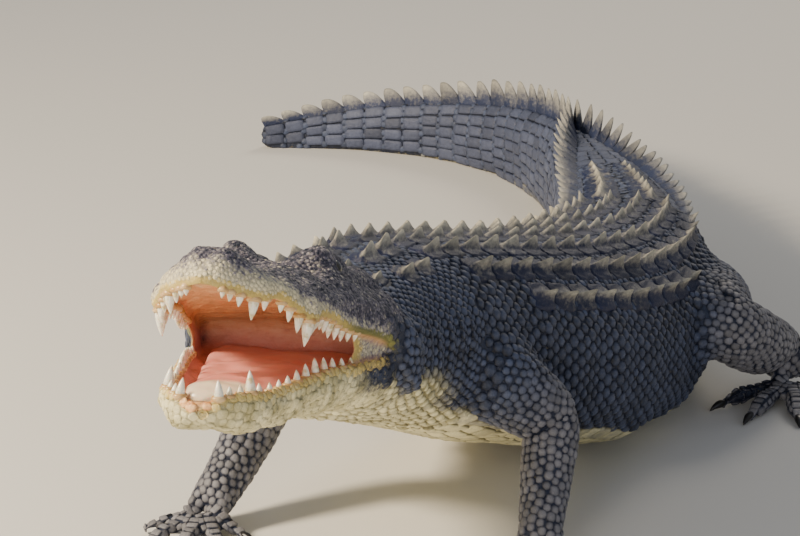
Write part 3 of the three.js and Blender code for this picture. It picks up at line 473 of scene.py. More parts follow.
# Legs: along, out from the midline and height of each joint, then half width and half thickness
FRONT_LEG = {
    "joints": [(300, 62, 236), (292, 118, 222), (318, 156, 190), (352, 184, 148), (312, 196, 92),
               (262, 206, 46), (232, 214, 22)],
    "sections": [(52, 60), (50, 58), (38, 46), (34, 36), (29, 33), (24, 27), (30, 20)],
    "palm": (232, 214),
    "toes": [(-66, 66), (-34, 84), (-6, 92), (24, 86), (56, 68)],
}
HIND_LEG = {
    "joints": [(1056, 54, 112), (1030, 96, 118), (960, 140, 128), (896, 176, 128), (944, 206, 90),
               (1006, 226, 50), (996, 242, 22)],
    "sections": [(62, 60), (60, 58), (54, 54), (44, 46), (39, 42), (30, 34), (34, 24)],
    "palm": (996, 242),
    "toes": [(-38, 112), (-12, 132), (14, 128), (42, 104)],
}
LEG_RINGS, LEG_POINTS = 46, 48
TOE_RINGS, TOE_POINTS = 16, 14
WRIST_HEIGHT = 18
TOE_LINE = [(0.12, 18), (0.55, 16), (1.0, 9), (1.13, 5)]
TOE_SECTIONS = [(13, 12), (11, 10), (8, 8), (3, 3)]


# Webs: folds of skin that close the corners of the mouth between the jaws, thin and drawn tight.
# Each row from the upper lip to the lower one: share of the way, place of its front edge
WEB_FRONT = [(0.0, 0.560), (0.25, 0.650), (0.5, 0.680), (0.75, 0.655), (1.0, 0.560)]
WEB_REAR = 0.93
WEB_HALF_THICKNESS = 2.4
WEB_ROWS, WEB_COLUMNS = 14, 22


def web_grid(side):
    """A closed band round a sheet of skin: out along its outer face, round the edge and back inside."""
    share = np.linspace(0, 1, WEB_ROWS)
    front = np.interp(share, *zip(*WEB_FRONT))
    rings = []
    for s, start in zip(share, front):
        place = np.linspace(start, WEB_REAR, WEB_COLUMNS)
        upper, lower = head_at(place), jaw_at(place)
        top = head_point(place, side * (upper[:, 0] - 0.012), np.maximum(upper[:, 6], -0.02) + 0.016)
        bottom = jaw_point(place, side * (lower[:, 0] - 0.012), np.minimum(lower[:, 1], 0.0) - 0.020)
        sheet = top * (1 - s) + bottom * s
        inwards = (head_point(0.8, 0, 0) - head_point(0.8, side, 0)) / HEAD_LENGTH
        sheet = sheet + inwards * 5.0 * math.sin(math.pi * s)
        thick = WEB_HALF_THICKNESS * np.clip(np.linspace(0.35, 3, WEB_COLUMNS), 0, 1)[:, None]
        rings.append(np.concatenate([sheet - inwards * thick, (sheet + inwards * thick)[::-1]]))
    return np.array(rings)


web_grids = [web_grid(side) for side in (1, -1)]


def beside_spine(along, out, height, side):
    centre, left = body_frame(np.float64(along))[:2]
    point = centre + left * side * out
    point[2] = height
    return point


def curve_through(knots, shares):
    """Points and directions of a centripetal curve through a few knots."""
    knots = np.array(knots, float)
    knots = np.concatenate([[2 * knots[0] - knots[1]], knots, [2 * knots[-1] - knots[-2]]])
    spans = len(knots) - 3
    points, directions = [], []
    for share in shares:
        i = min(int(share * spans), spans - 1)
        t = share * spans - i
        a, b, c, d = knots[i : i + 4]
        ab, bc, cd = (max(np.linalg.norm(q - p) ** 0.5, 1e-6) for p, q in ((a, b), (b, c), (c, d)))
        start = ((b - a) / ab - (c - a) / (ab + bc) + (c - b) / bc) * bc
        end = ((c - b) / bc - (d - b) / (bc + cd) + (d - c) / cd) * bc
        square, cube = 3 * (c - b) - 2 * start - end, 2 * (b - c) + start + end
        points.append(b + start * t + square * t**2 + cube * t**3)
        directions.append(start + 2 * square * t + 3 * cube * t**2)
    directions = np.array(directions)
    return np.array(points), directions / np.linalg.norm(directions, axis=1, keepdims=True)


def limb_grid(knots, sections, rings, points):
    """Rings round a curved limb, with half width and half thickness between those of its sections."""
    shares = np.linspace(0, 1, rings)
    centres, tangents = curve_through(knots, shares)
    across = np.cross(tangents, [0, 0, 1])
    across[np.linalg.norm(across, axis=1) < 0.2] = (1, 0, 0)
    across /= np.linalg.norm(across, axis=1, keepdims=True)
    over = np.cross(across, tangents)
    at = np.linspace(0, 1, len(sections))
    wide, thick = (np.interp(shares, at, column) for column in np.array(sections, float).T)
    turn = np.arange(points) * 2 * np.pi / points
    return (
        centres[:, None]
        + across[:, None] * (np.cos(turn)[None, :, None] * wide[:, None, None])
        + over[:, None] * (np.sin(turn)[None, :, None] * thick[:, None, None])
    )


leg_grids, toe_lines = [], []
for shape, name in ((FRONT_LEG, "front"), (HIND_LEG, "hind")):
    for side in (1, -1):
        knots = [beside_spine(*joint, side) for joint in shape["joints"]]
        leg_grids.append(limb_grid(knots, shape["sections"], LEG_RINGS, LEG_POINTS))
        wrist = beside_spine(*shape["palm"], WRIST_HEIGHT, side)
        _, left, _, back, _, _, _ = body_frame(np.float64(shape["palm"][0]))
        back = back * np.array([1, 1, 0]) / np.linalg.norm(back[:2])
        for digit, (spread, reach) in enumerate(shape["toes"]):
            turn = math.radians(spread)
            direction = -back * math.cos(turn) + left * side * math.sin(turn)
            ahead = wrist * [1, 1, 0]
            line = [ahead + direction * reach * share + [0, 0, height] for share, height in TOE_LINE]
            toe_lines.append((name, side, digit, np.array(line)))
toe_grids = [limb_grid(line, TOE_SECTIONS, TOE_RINGS, TOE_POINTS) for _, _, _, line in toe_lines]


def ring_faces(rings, count, closed=False):
    """Faces between rings of points; closed joins the last ring to the first."""
    faces = []
    for ring in range(rings if closed else rings - 1):
        a, b = ring * count, (ring + 1) % rings * count
        faces += [(a + i, a + (i + 1) % count, b + (i + 1) % count, b + i) for i in range(count)]
    return faces


def grid_mesh(name, grid):
    """A closed mesh from rings (rings, points, 3) in millimetres, resting on the floor."""
    rings, count = grid.shape[:2]
    points = grid.reshape(-1, 3).copy()
    ends = np.stack([grid[0].mean(0), grid[-1].mean(0)])
    points = np.concatenate([points, ends])
    points[:, 2] = np.maximum(points[:, 2], 0.0)
    quads = ring_faces(rings, count)
    last = (rings - 1) * count
    caps = [(rings * count, (i + 1) % count, i) for i in range(count)]
    caps += [(rings * count + 1, last + i, last + (i + 1) % count) for i in range(count)]
    mesh = bpy.data.meshes.new(name)
    mesh.from_pydata((points * MM).tolist(), [], quads + caps)
    corners = points[np.array(quads)]
    volume = np.einsum("ij,ij->", corners[:, 0], np.cross(corners[:, 1], corners[:, 2]))
    volume += np.einsum("ij,ij->", corners[:, 0], np.cross(corners[:, 2], corners[:, 3]))
    if volume < 0:
        mesh.flip_normals()
    made = bpy.data.objects.new(name, mesh)
    bpy.context.scene.collection.objects.link(made)
    return made


def plain_copy(made):
    """Turns an object with modifiers into a plain mesh under the same name."""
    evaluated = made.evaluated_get(bpy.context.evaluated_depsgraph_get())
    mesh = bpy.data.meshes.new_from_object(evaluated)
    made.modifiers.clear()
    old = made.data
    made.data = mesh
    bpy.data.meshes.remove(old)
    return made


regions = [("trunk", body_grid), ("skull", skull_grid), ("jaw", lower_grid)]
regions += [(f"web {i}", grid) for i, grid in enumerate(web_grids)]
regions += [(f"leg {i}", grid) for i, grid in enumerate(leg_grids)]
regions += [(f"toe {i}", grid) for i, grid in enumerate(toe_grids)]
parts = [grid_mesh(name, grid) for name, grid in regions]
skin = parts[0]
skin.name = "skin"
for part in parts[1:]:
    join = skin.modifiers.new("join", "BOOLEAN")
    join.operation = "UNION"
    join.solver = "MANIFOLD"
    join.object = part
plain_copy(skin)
for part in parts[1:]:
    bpy.data.objects.remove(part)


def ramp(values, start, end):
    """Soft step from 0 at start to 1 at end."""
    t = np.clip((values - start) / (end - start), 0, 1)
    return t * t * (3 - 2 * t)


# Markings of each region, as shares from 0 to 1: pale belly and chin, lips, lining of the mouth,
# pink throat, and bony skin of the skull
markings = {}
belly_share = ramp(np.abs(180 - body_angles), 62, 34)[None, :]
throat_share = ramp(body_places, 260, 60)[:, None] * ramp(np.abs(180 - body_angles), 95, 60)[None, :]
tail_share = 1 - 0.55 * ramp(body_places, 1200, 1500)[:, None]
markings["trunk"] = dict(pale=np.maximum(belly_share * tail_share, throat_share))

skull_lip = head_at(skull_places)[:, 6, None]
below_cheek = ramp(skull_flat[..., 1], 0.075, 0.045)
above_lip = skull_flat[..., 1] - skull_lip
along_skull = skull_places[:, None]
points_round = np.arange(skull_flat.shape[1])
from_top = np.minimum(points_round, skull_flat.shape[1] - points_round)[None, :]
LIP_POINT = 47
inside_skull = ramp(from_top - 12 * ramp(along_skull, 0.80, 0.90), LIP_POINT - 1, LIP_POINT + 3)
# The cream of the lip reaches higher towards the snout's front: the lip's own cream, with painted light on the
# sunlit front of the snout
cream_and_painted_light_height = 0.050 + 0.060 * ramp(along_skull, 0.46, 0.16)
behind_lips = ramp(along_skull, 0.84, 0.92)
markings["skull"] = dict(
    skull=1 - np.maximum(ramp(along_skull, 0.98, 1.08), ramp(along_skull, 0.76, 0.90) * below_cheek),
    lip=ramp(above_lip, cream_and_painted_light_height, 0) * (1 - behind_lips) * (1 - 0.45 * ramp(along_skull, 0.46, 0.80)),
    rim=ramp(above_lip, 0.026, 0.010) * (1 - behind_lips),
    lining=inside_skull * ramp(along_skull, -0.004, 0.016),
    pink=ramp(along_skull, 0.80, 0.94),
    olive=ramp(along_skull, 0.46, 0.66),
)
points_round = np.arange(lower_flat.shape[1])
from_floor = np.minimum(points_round, lower_flat.shape[1] - points_round)[None, :]
LOWER_LIP_POINT = 27
along_jaw = lower_places[:, None]
below_lip = jaw_at(lower_places)[:, 1, None] - lower_flat[..., 1]
inside_jaw = 1 - ramp(from_floor + 10 * ramp(along_jaw, 0.80, 0.88), LOWER_LIP_POINT - 3, LOWER_LIP_POINT + 1)
markings["jaw"] = dict(
    pale=1 - 0.9 * ramp(along_jaw, 0.50, 0.85) * ramp(below_lip, 0.13, 0.04),
    rim=ramp(below_lip, 0.030, 0.010) * (1 - ramp(along_jaw, 0.8, 0.9)) * 0.7,
    lining=inside_jaw,
    pink=ramp(along_jaw, 0.10, 0.34),
)
MARKS = ("pale", "lip", "rim", "lining", "pink", "skull", "olive", "limb")
web_points = np.arange(2 * WEB_COLUMNS)[None, :]
outer_face = (web_points < WEB_COLUMNS) * 1.0
web_edge = ramp(np.minimum(web_points, 2 * WEB_COLUMNS - 1 - web_points), 5, 1)
for i in range(2):
    markings[f"web {i}"] = dict(skull=outer_face, lip=0.5 * outer_face, rim=web_edge * outer_face,
                                lining=1 - outer_face, pink=1 - 0.7 * web_edge)
for i in range(len(leg_grids)):
    markings[f"leg {i}"] = dict(limb=ramp(np.arange(LEG_RINGS), LEG_RINGS * 0.2, LEG_RINGS * 0.5)[:, None])
for i in range(len(toe_grids)):
    markings[f"toe {i}"] = dict(limb=1.0)
# Each region has its place on the unwrap of the skin: left, low, right, high
unwraps = {"trunk": (0.01, 0.01, 0.99, 0.55),
           "skull": (0.01, 0.01, 0.99, 0.99), "jaw": (0.01, 0.01, 0.99, 0.99),
           "web 0": (0.4, 0.6, 0.5, 0.7), "web 1": (0.5, 0.6, 0.6, 0.7)}
for i in range(len(leg_grids)):
    unwraps[f"leg {i}"] = (0.01 + i * 0.25, 0.57, 0.24 + i * 0.25, 0.79)
for i in range(len(toe_grids)):
    unwraps[f"toe {i}"] = (0.01 + i * 0.054, 0.81, 0.06 + i * 0.054, 0.99)
source_points, source_marks, source_flow, source_unwrap = [], [], [], []
for name, grid in regions:
    rings, count = grid.shape[:2]
    source_points.append(grid.reshape(-1, 3) * MM)
    given = markings.get(name, {})
    source_marks.append(np.stack(
        [np.broadcast_to(given.get(mark, 0.0), (rings, count)).reshape(-1) for mark in MARKS], 1
    ))
    source_flow.append(np.gradient(grid, axis=0).reshape(-1, 3))
    left_edge, low, right_edge, high = unwraps[name]
    ring, number = np.meshgrid(np.arange(rings) / rings, np.arange(count) / count, indexing="ij")
    source_unwrap.append(np.stack(
        [left_edge + (right_edge - left_edge) * ring, low + (high - low) * number], -1
    ).reshape(-1, 2))
source_points = np.concatenate(source_points)
source_points[:, 2] = np.maximum(source_points[:, 2], 0)
source_marks = np.concatenate(source_marks)
source_flow = np.concatenate(source_flow)
source_flow /= np.maximum(np.linalg.norm(source_flow, axis=1, keepdims=True), 1e-9)
source_unwrap = np.concatenate(source_unwrap)
tree = KDTree(len(source_points))
for i, point in enumerate(source_points):
    tree.insert(point, i)
tree.balance()

skin_mesh = skin.data
skin_co = np.empty(len(skin_mesh.vertices) * 3)
skin_mesh.vertices.foreach_get("co", skin_co)
skin_co = skin_co.reshape(-1, 3)
nearest = [tree.find(point) for point in skin_co]
nearest_source = [found[1] for found in nearest]
marks, flow = source_marks[nearest_source], source_flow[nearest_source]
unwrapped = source_unwrap[nearest_source]
on_join = np.array([found[2] for found in nearest]) > 2e-5

# The joins of legs, neck and jaws are drawn smooth, over a few centimetres of skin
join_tree = KDTree(int(on_join.sum()))
for i, point in enumerate(skin_co[on_join]):
    join_tree.insert(point, i)
join_tree.balance()
away = np.array([join_tree.find(point)[2] for point in skin_co])
JOIN_REACH, JAW_REACH, WEB_REACH = 0.038, 0.004, 0.016
behind_head = (skin_co - snout_tip * MM) @ skull_axes[0] / (HEAD_LENGTH * MM)
reach = np.interp(behind_head, [0.60, 0.66, 0.84, 0.97, 1.0],
                  [JAW_REACH, JAW_REACH, WEB_REACH, WEB_REACH, JOIN_REACH])
softness = ramp(away, reach, 0 * reach)
edges = np.empty(len(skin_mesh.edges) * 2, int)
skin_mesh.edges.foreach_get("vertices", edges)
edges = edges.reshape(-1, 2)
neighbours = np.bincount(edges.ravel(), minlength=len(skin_co))[:, None]
SMOOTH_ROUNDS = 36


def neighbour_mean(values):
    total = np.zeros_like(values)
    np.add.at(total, edges[:, 0], values[edges[:, 1]])
    np.add.at(total, edges[:, 1], values[edges[:, 0]])
    return total / neighbours


for _ in range(SMOOTH_ROUNDS):
    skin_co += (neighbour_mean(skin_co) - skin_co) * (softness * 0.8)[:, None]
for _ in range(12):
    marks += (neighbour_mean(marks) - marks) * (softness * 0.8)[:, None]
    flow += (neighbour_mean(flow) - flow) * (softness * 0.8)[:, None]
# A deep fold parts the rear of the head from the neck
above_jaw = (skin_co - snout_tip * MM) @ skull_axes[2] / (HEAD_LENGTH * MM)
aside_head = (skin_co - snout_tip * MM) @ skull_axes[1] / (HEAD_LENGTH * MM)
fold = np.exp(-(((behind_head - 1.0 - 0.42 * (0.12 - above_jaw)) / 0.022) ** 2))
fold *= ramp(above_jaw, -0.16, -0.06) * ramp(above_jaw, 0.19, 0.12) * ramp(np.abs(aside_head), 0.10, 0.18)
skin_co -= (fold * np.sign(aside_head) * 0.017)[:, None] * skull_axes[1]
skin_co[:, 2] = np.maximum(skin_co[:, 2], 0)
skin_mesh.vertices.foreach_set("co", skin_co.ravel())
for i, mark in enumerate(MARKS):
    skin_mesh.attributes.new(mark, "FLOAT", "POINT").data.foreach_set("value", marks[:, i].astype(np.float32))
skin_mesh.shade_smooth()
skin_mesh.update()
skin_surface = BVHTree.FromPolygons(skin_co.tolist(), [list(p.vertices) for p in skin_mesh.polygons])


# Hide: alligator skin, tanned by sun and mud. Horny scales over leathery dermis give a dull sheen.
def finish(name, roughness):
    """A new material with one shader: the tree, its shader and a coordinate node come back."""
    made = bpy.data.materials.new(name)
    made.use_nodes = True
    tree = made.node_tree
    shader = tree.nodes["Principled BSDF"]
    shader.inputs["Roughness"].default_value = roughness
    return made, tree, shader, node(tree, "ShaderNodeTexCoord").outputs["Object"]


def mark_of(tree, name):
    return node(tree, "ShaderNodeAttribute", attribute_name=name).outputs["Fac"]


def colours(tree, share, stops):
    """A colour ramp over a share, from (position, hex colour) stops."""
    made = node(tree, "ShaderNodeValToRGB", {"Fac": share})
    elements = made.color_ramp.elements
    while len(elements) < len(stops):
        elements.new(0.5)
    for element, (position, text) in zip(elements, stops):
        element.position = position
        element.color = linear(text)
    return made.outputs[0]


def blend(tree, share, first, second):
    """A mix of two colours, given as hex or as outputs."""
    ends = [linear(end) if isinstance(end, str) else end for end in (first, second)]
    return node(tree, "ShaderNodeMix", {0: share, 6: ends[0], 7: ends[1]}, data_type="RGBA").outputs[2]


def sum_of(tree, first, factor, second):
    """First times factor plus second."""
    return node(tree, "ShaderNodeMath", {0: first, 1: factor, 2: second}, operation="MULTIPLY_ADD").outputs[0]


def stretched(tree, share, low, high):
    """A share stretched so that low gives 0 and high gives 1."""
    return node(tree, "ShaderNodeMapRange", {"Value": share, "From Min": low, "From Max": high}).outputs[0]


hide, tree, shader, place = finish("hide of head and body", 0.55)
mottle = node(tree, "ShaderNodeTexNoise", {"Vector": place, "Scale": 30, "Detail": 6, "Roughness": 0.65})
mottle = mottle.outputs["Fac"]
fine = node(tree, "ShaderNodeTexNoise", {"Vector": place, "Scale": 170, "Detail": 5, "Roughness": 0.75})
fine = fine.outputs["Fac"]
flecks = node(tree, "ShaderNodeTexVoronoi", {"Vector": place, "Scale": 330, "Randomness": 1.0})
fleck = node(tree, "ShaderNodeSeparateColor", {0: flecks.outputs["Color"]}).outputs[0]
# The body's dark slate-blue is partly the hide's own dark colour and partly the blue of shade, painted in
body_colour = colours(tree, mottle, [(0.32, "#10162a"), (0.7, "#2c374f")])
tone = sum_of(tree, fine, 0.75, sum_of(tree, fleck, 0.30, sum_of(tree, mottle, 0.5, -0.23)))
tone = sum_of(tree, mark_of(tree, "tone"), 0.60, tone)
head_colour = colours(tree, sum_of(tree, mark_of(tree, "lip"), 0.62, tone), [
    (0.36, "#1d2334"), (0.52, "#474453"), (0.66, "#77727c"), (0.80, "#a8a192"), (1.02, "#d3c9a6")])
dark = blend(tree, mark_of(tree, "skull"), body_colour, head_colour)
pale_colour = colours(tree, mottle, [(0.35, "#a39a6c"), (0.6, "#ddd4a8")])
ragged = sum_of(tree, fine, 1.0, -0.5)
pale_edge = stretched(tree, sum_of(tree, ragged, 1.2, mark_of(tree, "pale")), 0.25, 0.75)
with_pale = blend(tree, pale_edge, dark, pale_colour)
rim_colour = blend(tree, mark_of(tree, "olive"), "#cdb465", "#77763a")
rim_edge = stretched(tree, sum_of(tree, ragged, 2.2, mark_of(tree, "rim")), 0.25, 0.85)
with_rim = blend(tree, rim_edge, with_pale, rim_colour)
# The lining of the mouth: orange palate with fine streaks across, coral throat
across_streaks = node(tree, "ShaderNodeMapping", {"Vector": place, "Rotation": (0, 0, math.radians(HEAD_YAW)),
                                                  "Scale": (0.07, 1, 1)}).outputs[0]
streaks = node(tree, "ShaderNodeTexNoise", {"Vector": across_streaks, "Scale": 260, "Detail": 4}).outputs["Fac"]
palate_colour = colours(tree, streaks, [(0.30, "#c5834a"), (0.46, "#ecb277"), (0.7, "#f4c891")])
throat_colour = colours(tree, mottle, [(0.35, "#ea968c"), (0.65, "#f4b0a4")])
lining_colour = blend(tree, mark_of(tree, "pink"), palate_colour, throat_colour)
coloured = blend(tree, mark_of(tree, "lining"), with_rim, lining_colour)
# Crowns of scales catch the dust and are painted lighter, partly as painted highlight; the furrows round them are
# painted darker as painted shade
brightness = sum_of(tree, mark_of(tree, "crown"), 0.34, 0.84)
worn_and_painted_light = node(tree, "ShaderNodeHueSaturation", {"Color": coloured, "Value": brightness}).outputs[0]
tree.links.new(worn_and_painted_light, shader.inputs["Base Color"])
tree.links.new(sum_of(tree, mark_of(tree, "lining"), -0.25, 0.56), shader.inputs["Roughness"])
# Pebbles of about 4 mm cover the skin between the scales, over pores of 1 mm
pebbles = node(tree, "ShaderNodeTexVoronoi", {"Vector": place, "Scale": 240}).outputs["Distance"]
pores = node(tree, "ShaderNodeTexNoise", {"Vector": place, "Scale": 900, "Detail": 3}).outputs["Fac"]
relief = sum_of(tree, pebbles, -1.0, pores)
bump = node(tree, "ShaderNodeBump", {"Height": relief, "Strength": 0.45, "Distance": 0.0015})
tree.links.new(bump.outputs[0], shader.inputs["Normal"])
skin_mesh.materials.clear()
skin_mesh.materials.append(hide)
flesh = [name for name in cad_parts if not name.startswith(("eye", "tongue"))]
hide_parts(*flesh)
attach(skin, "root")


# Scales: horny plates that stand on the skin, each with its root sunk in. A scale of each kind is
# modelled once, one unit wide, long and high, and Geometry Nodes set it on every root.
def scale_shape(name, sides, squareness, rings, keel=0.0):
    """A rounded scale: rings are (share of the width, height); a keel raises its middle line."""
    points, crown = [], []
    turn = (np.arange(sides) + 0.5) * 2 * np.pi / sides
    power = 2 / squareness
    x = np.sign(np.cos(turn)) * np.abs(np.cos(turn)) ** power / 2
    y = np.sign(np.sin(turn)) * np.abs(np.sin(turn)) ** power / 2
    for share, height in rings:
        ridge = keel * np.exp(-((x * share / 0.12) ** 2)) * max(height, 0)
        points += list(zip(x * share, y * share, height + ridge))
        crown += [max(height, 0)] * sides
    top = len(points)
    points.append((0, 0.06, rings[-1][1] + 0.05 + keel))
    crown.append(1.0)
    faces = ring_faces(len(rings), sides)
    faces += [(top - sides + i, top - sides + (i + 1) % sides, top) for i in range(sides)]
    return template(name, points, faces, crown)


def template(name, points, faces, crown):
    """A hidden object that carries one scale, with the height share of each point as its crown."""
    mesh = bpy.data.meshes.new(name)
    mesh.from_pydata([tuple(map(float, p)) for p in points], [], [tuple(map(int, f)) for f in faces])
    mesh.shade_smooth()
    mesh.attributes.new("crown", "FLOAT", "POINT").data.foreach_set("value", np.array(crown, np.float32))
    patch = np.array(points, np.float32)
    patch[:, 2] = 0
    mesh.attributes.new("patch", "FLOAT_VECTOR", "POINT").data.foreach_set("vector", patch.ravel())
    made = bpy.data.objects.new(name, mesh)
    bpy.context.scene.collection.objects.link(made)
    templates.append(made)
    return made


templates = []


def growing_tree():
    """Sets a scale on each root: its sizes in metres, their variation, a random turn and a seed."""
    tree = bpy.data.node_groups.new("scales on the skin", "GeometryNodeTree")
    wanted = [
        ("Roots", "NodeSocketGeometry"), ("Scale", "NodeSocketObject"), ("Width", "NodeSocketFloat"),
        ("Length", "NodeSocketFloat"), ("Height", "NodeSocketFloat"), ("Variation", "NodeSocketFloat"),
        ("Turn", "NodeSocketFloat"), ("Seed", "NodeSocketInt"), ("Finish", "NodeSocketMaterial"),
    ]
    for label, kind in wanted:
        tree.interface.new_socket(label, in_out="INPUT", socket_type=kind)
    tree.interface.new_socket("Scales", in_out="OUTPUT", socket_type="NodeSocketGeometry")
    given = node(tree, "NodeGroupInput").outputs
    facing = node(tree, "GeometryNodeInputNamedAttribute", {"Name": "facing"}, data_type="FLOAT_VECTOR")
    tailward = node(tree, "GeometryNodeInputNamedAttribute", {"Name": "tailward"}, data_type="FLOAT_VECTOR")
    share = node(tree, "GeometryNodeInputNamedAttribute", {"Name": "share"}, data_type="FLOAT_VECTOR")
    stance = node(tree, "FunctionNodeAxesToRotation", {0: facing.outputs[0], 1: tailward.outputs[0]},
                  primary_axis="Z", secondary_axis="Y")
    least_turn = node(tree, "ShaderNodeMath", {0: given["Turn"], 1: -1.0}, operation="MULTIPLY")
    twist = node(tree, "FunctionNodeRandomValue", {2: least_turn.outputs[0], 3: given["Turn"], 8: given["Seed"]},
                 data_type="FLOAT")
    twist_turn = node(tree, "FunctionNodeAxisAngleToRotation", {"Axis": (0, 0, 1), "Angle": twist.outputs[1]})
    turned = node(tree, "FunctionNodeRotateRotation", {0: stance.outputs[0], 1: twist_turn.outputs[0]},
                  rotation_space="LOCAL")
    smallest = node(tree, "ShaderNodeMath", {0: 1.0, 1: given["Variation"]}, operation="SUBTRACT")
    largest = node(tree, "ShaderNodeMath", {0: 1.0, 1: given["Variation"]}, operation="ADD")
    other_seed = node(tree, "ShaderNodeMath", {0: given["Seed"], 1: 1.0}, operation="ADD")
    vary = node(tree, "FunctionNodeRandomValue",
                {2: smallest.outputs[0], 3: largest.outputs[0], 8: other_seed.outputs[0]}, data_type="FLOAT")
    sizes = node(tree, "ShaderNodeCombineXYZ", {0: given["Width"], 1: given["Length"], 2: given["Height"]})
    shaped = node(tree, "ShaderNodeVectorMath", {0: sizes.outputs[0], 1: share.outputs[0]}, operation="MULTIPLY")
    varied = node(tree, "ShaderNodeVectorMath", {0: shaped.outputs[0], "Scale": vary.outputs[1]}, operation="SCALE")
    shape = node(tree, "GeometryNodeObjectInfo", {"Object": given["Scale"]})
    placed_scales = node(tree, "GeometryNodeInstanceOnPoints", {
        "Points": given["Roots"], "Instance": shape.outputs["Geometry"],
        "Rotation": turned.outputs[0], "Scale": varied.outputs[0],
    })
    real = node(tree, "GeometryNodeRealizeInstances", {0: placed_scales.outputs[0]})
    finished = node(tree, "GeometryNodeSetMaterial", {"Geometry": real.outputs[0], "Material": given["Finish"]})
    node(tree, "NodeGroupOutput", {0: finished.outputs[0]})
    return tree


scales_on_skin = growing_tree()
BAKE_PATCH = 0.003


def grid_frame(surface, u, v, du, dv):
    """Point, tailward direction and direction across of a surface given as a function of two numbers."""
    point = surface(u, v)
    tailward = surface(u + du, v) - surface(u - du, v)
    across = surface(u, v + dv) - surface(u, v - dv)
    unit = [d / np.maximum(np.linalg.norm(d, axis=-1, keepdims=True), 1e-9) for d in (tailward, across)]
    return point, *unit


CELL = 0.036
taken = {}
skin_tree = KDTree(len(skin_co))
for i, point in enumerate(skin_co):
    skin_tree.insert(point, i)
skin_tree.balance()


def is_free(point, radius):
    """Whether no scale stands within the sum of the two radii of a point."""
    x, y, z = point
    i, j, k = (math.floor(c / CELL) for c in point)
    for cell in ((i + a, j + b, k + c) for a in (-1, 0, 1) for b in (-1, 0, 1) for c in (-1, 0, 1)):
        for other_x, other_y, other_z, other in taken.get(cell, ()):
            if (x - other_x) ** 2 + (y - other_y) ** 2 + (z - other_z) ** 2 < (radius + other) ** 2:
                return False
    return True


def take(points, radius):
    for point in points:
        cell = tuple(math.floor(c / CELL) for c in point)
        taken.setdefault(cell, []).append((*point, radius))


def roots_on(surface, u, v, steps, unwrap, share=(1, 1, 1),
             reach=0.014, room=0.0, keep=0.0, lean=0.0, splay=0.0):
    """Roots of scales where the surface meets the finished skin; those that it has buried are left out,
    and those that stand less than room from a scale that grew before. Each takes keep for itself."""
    u, v = np.asarray(u, float), np.asarray(v, float)
    point, tailward, across = grid_frame(surface, u, v, *steps)
    splay = np.broadcast_to(np.asarray(splay, float), len(u))
    share = np.broadcast_to(np.asarray(share, float), (len(u), 3))
    kept = {"point": [], "facing": [], "tailward": [], "share": [], "root": []}
    for i in range(len(u)):
        spot, normal, _, distance = skin_surface.find_nearest(Vector(point[i] * MM))
        if spot is None or distance > reach or spot.z < 0.0006 or (room and not is_free(spot, room)):
            continue
        kept["point"].append(spot)
        kept["facing"].append(normal + Vector(tailward[i]) * lean + Vector(across[i]) * splay[i])
        kept["tailward"].append(tailward[i])
        kept["share"].append(share[i])
        kept["root"].append((*unwrap(u[i], v[i]), 0))
    if keep:
        take(kept["point"], keep)
    return {key: np.array(value, np.float32).reshape(-1, 3) for key, value in kept.items()}


def marks_at(points):
    """The markings of the skin under each root."""
    found = marks[[skin_tree.find(point)[1] for point in points]]
    return dict(zip(MARKS, found.T))


def grow(name, roots, scale, width, length, height, finish,
         variation=0.08, turn=0.05, seed=1, marks=None):
    """A piece of scales on roots; sizes in millimetres."""
    mesh = bpy.data.meshes.new(name)
    mesh.from_pydata(roots["point"].tolist(), [], [])
    for key in ("facing", "tailward", "share", "root"):
        mesh.attributes.new(key, "FLOAT_VECTOR", "POINT").data.foreach_set("vector", roots[key].ravel())
    tones = np.random.default_rng(seed).normal(0, 0.13, len(roots["point"])).clip(-0.3, 0.3)
    for key, values in {**(marks or {}), "tone": tones}.items():
        mesh.attributes.new(key, "FLOAT", "POINT").data.foreach_set("value", np.asarray(values, np.float32))
    made = bpy.data.objects.new(name, mesh)
    bpy.context.scene.collection.objects.link(made)
    growth = made.modifiers.new("growth", "NODES")
    growth.node_group = scales_on_skin
    inputs = {"Scale": scale, "Width": width * MM, "Length": length * MM, "Height": height * MM,
              "Variation": variation, "Turn": turn, "Seed": seed, "Finish": finish}
    for item in scales_on_skin.interface.items_tree:
        if item.in_out == "INPUT" and item.name in inputs:
            growth[item.identifier] = inputs[item.name]
    plain_copy(made)
    mesh = made.data
    mesh.name = name
    mesh.shade_smooth()
    placed_co = np.empty(len(mesh.vertices) * 3)
    mesh.vertices.foreach_get("co", placed_co)
    placed_co[2::3] = np.maximum(placed_co[2::3], 0)
    mesh.vertices.foreach_set("co", placed_co)
    read = {}
    for key in ("root", "patch"):
        read[key] = np.empty(len(mesh.vertices) * 3, np.float32)
        mesh.attributes[key].data.foreach_get("vector", read[key])
        read[key] = read[key].reshape(-1, 3)[:, :2]
    corner = np.empty(len(mesh.loops), int)
    mesh.loops.foreach_get("vertex_index", corner)
    flat = read["root"] + read["patch"] * BAKE_PATCH
    mesh.uv_layers.new(name="OFBake").data.foreach_set("uv", flat[corner].ravel())
    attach(made, "root")
    return made


def body_surface(along, angle):
    return body_point(along, angle)


def body_unwrap(along, angle):
    return 0.01 + 0.98 * (along + 48) / (BODY_END + 48), 0.01 + 0.54 * (angle % 360) / 360


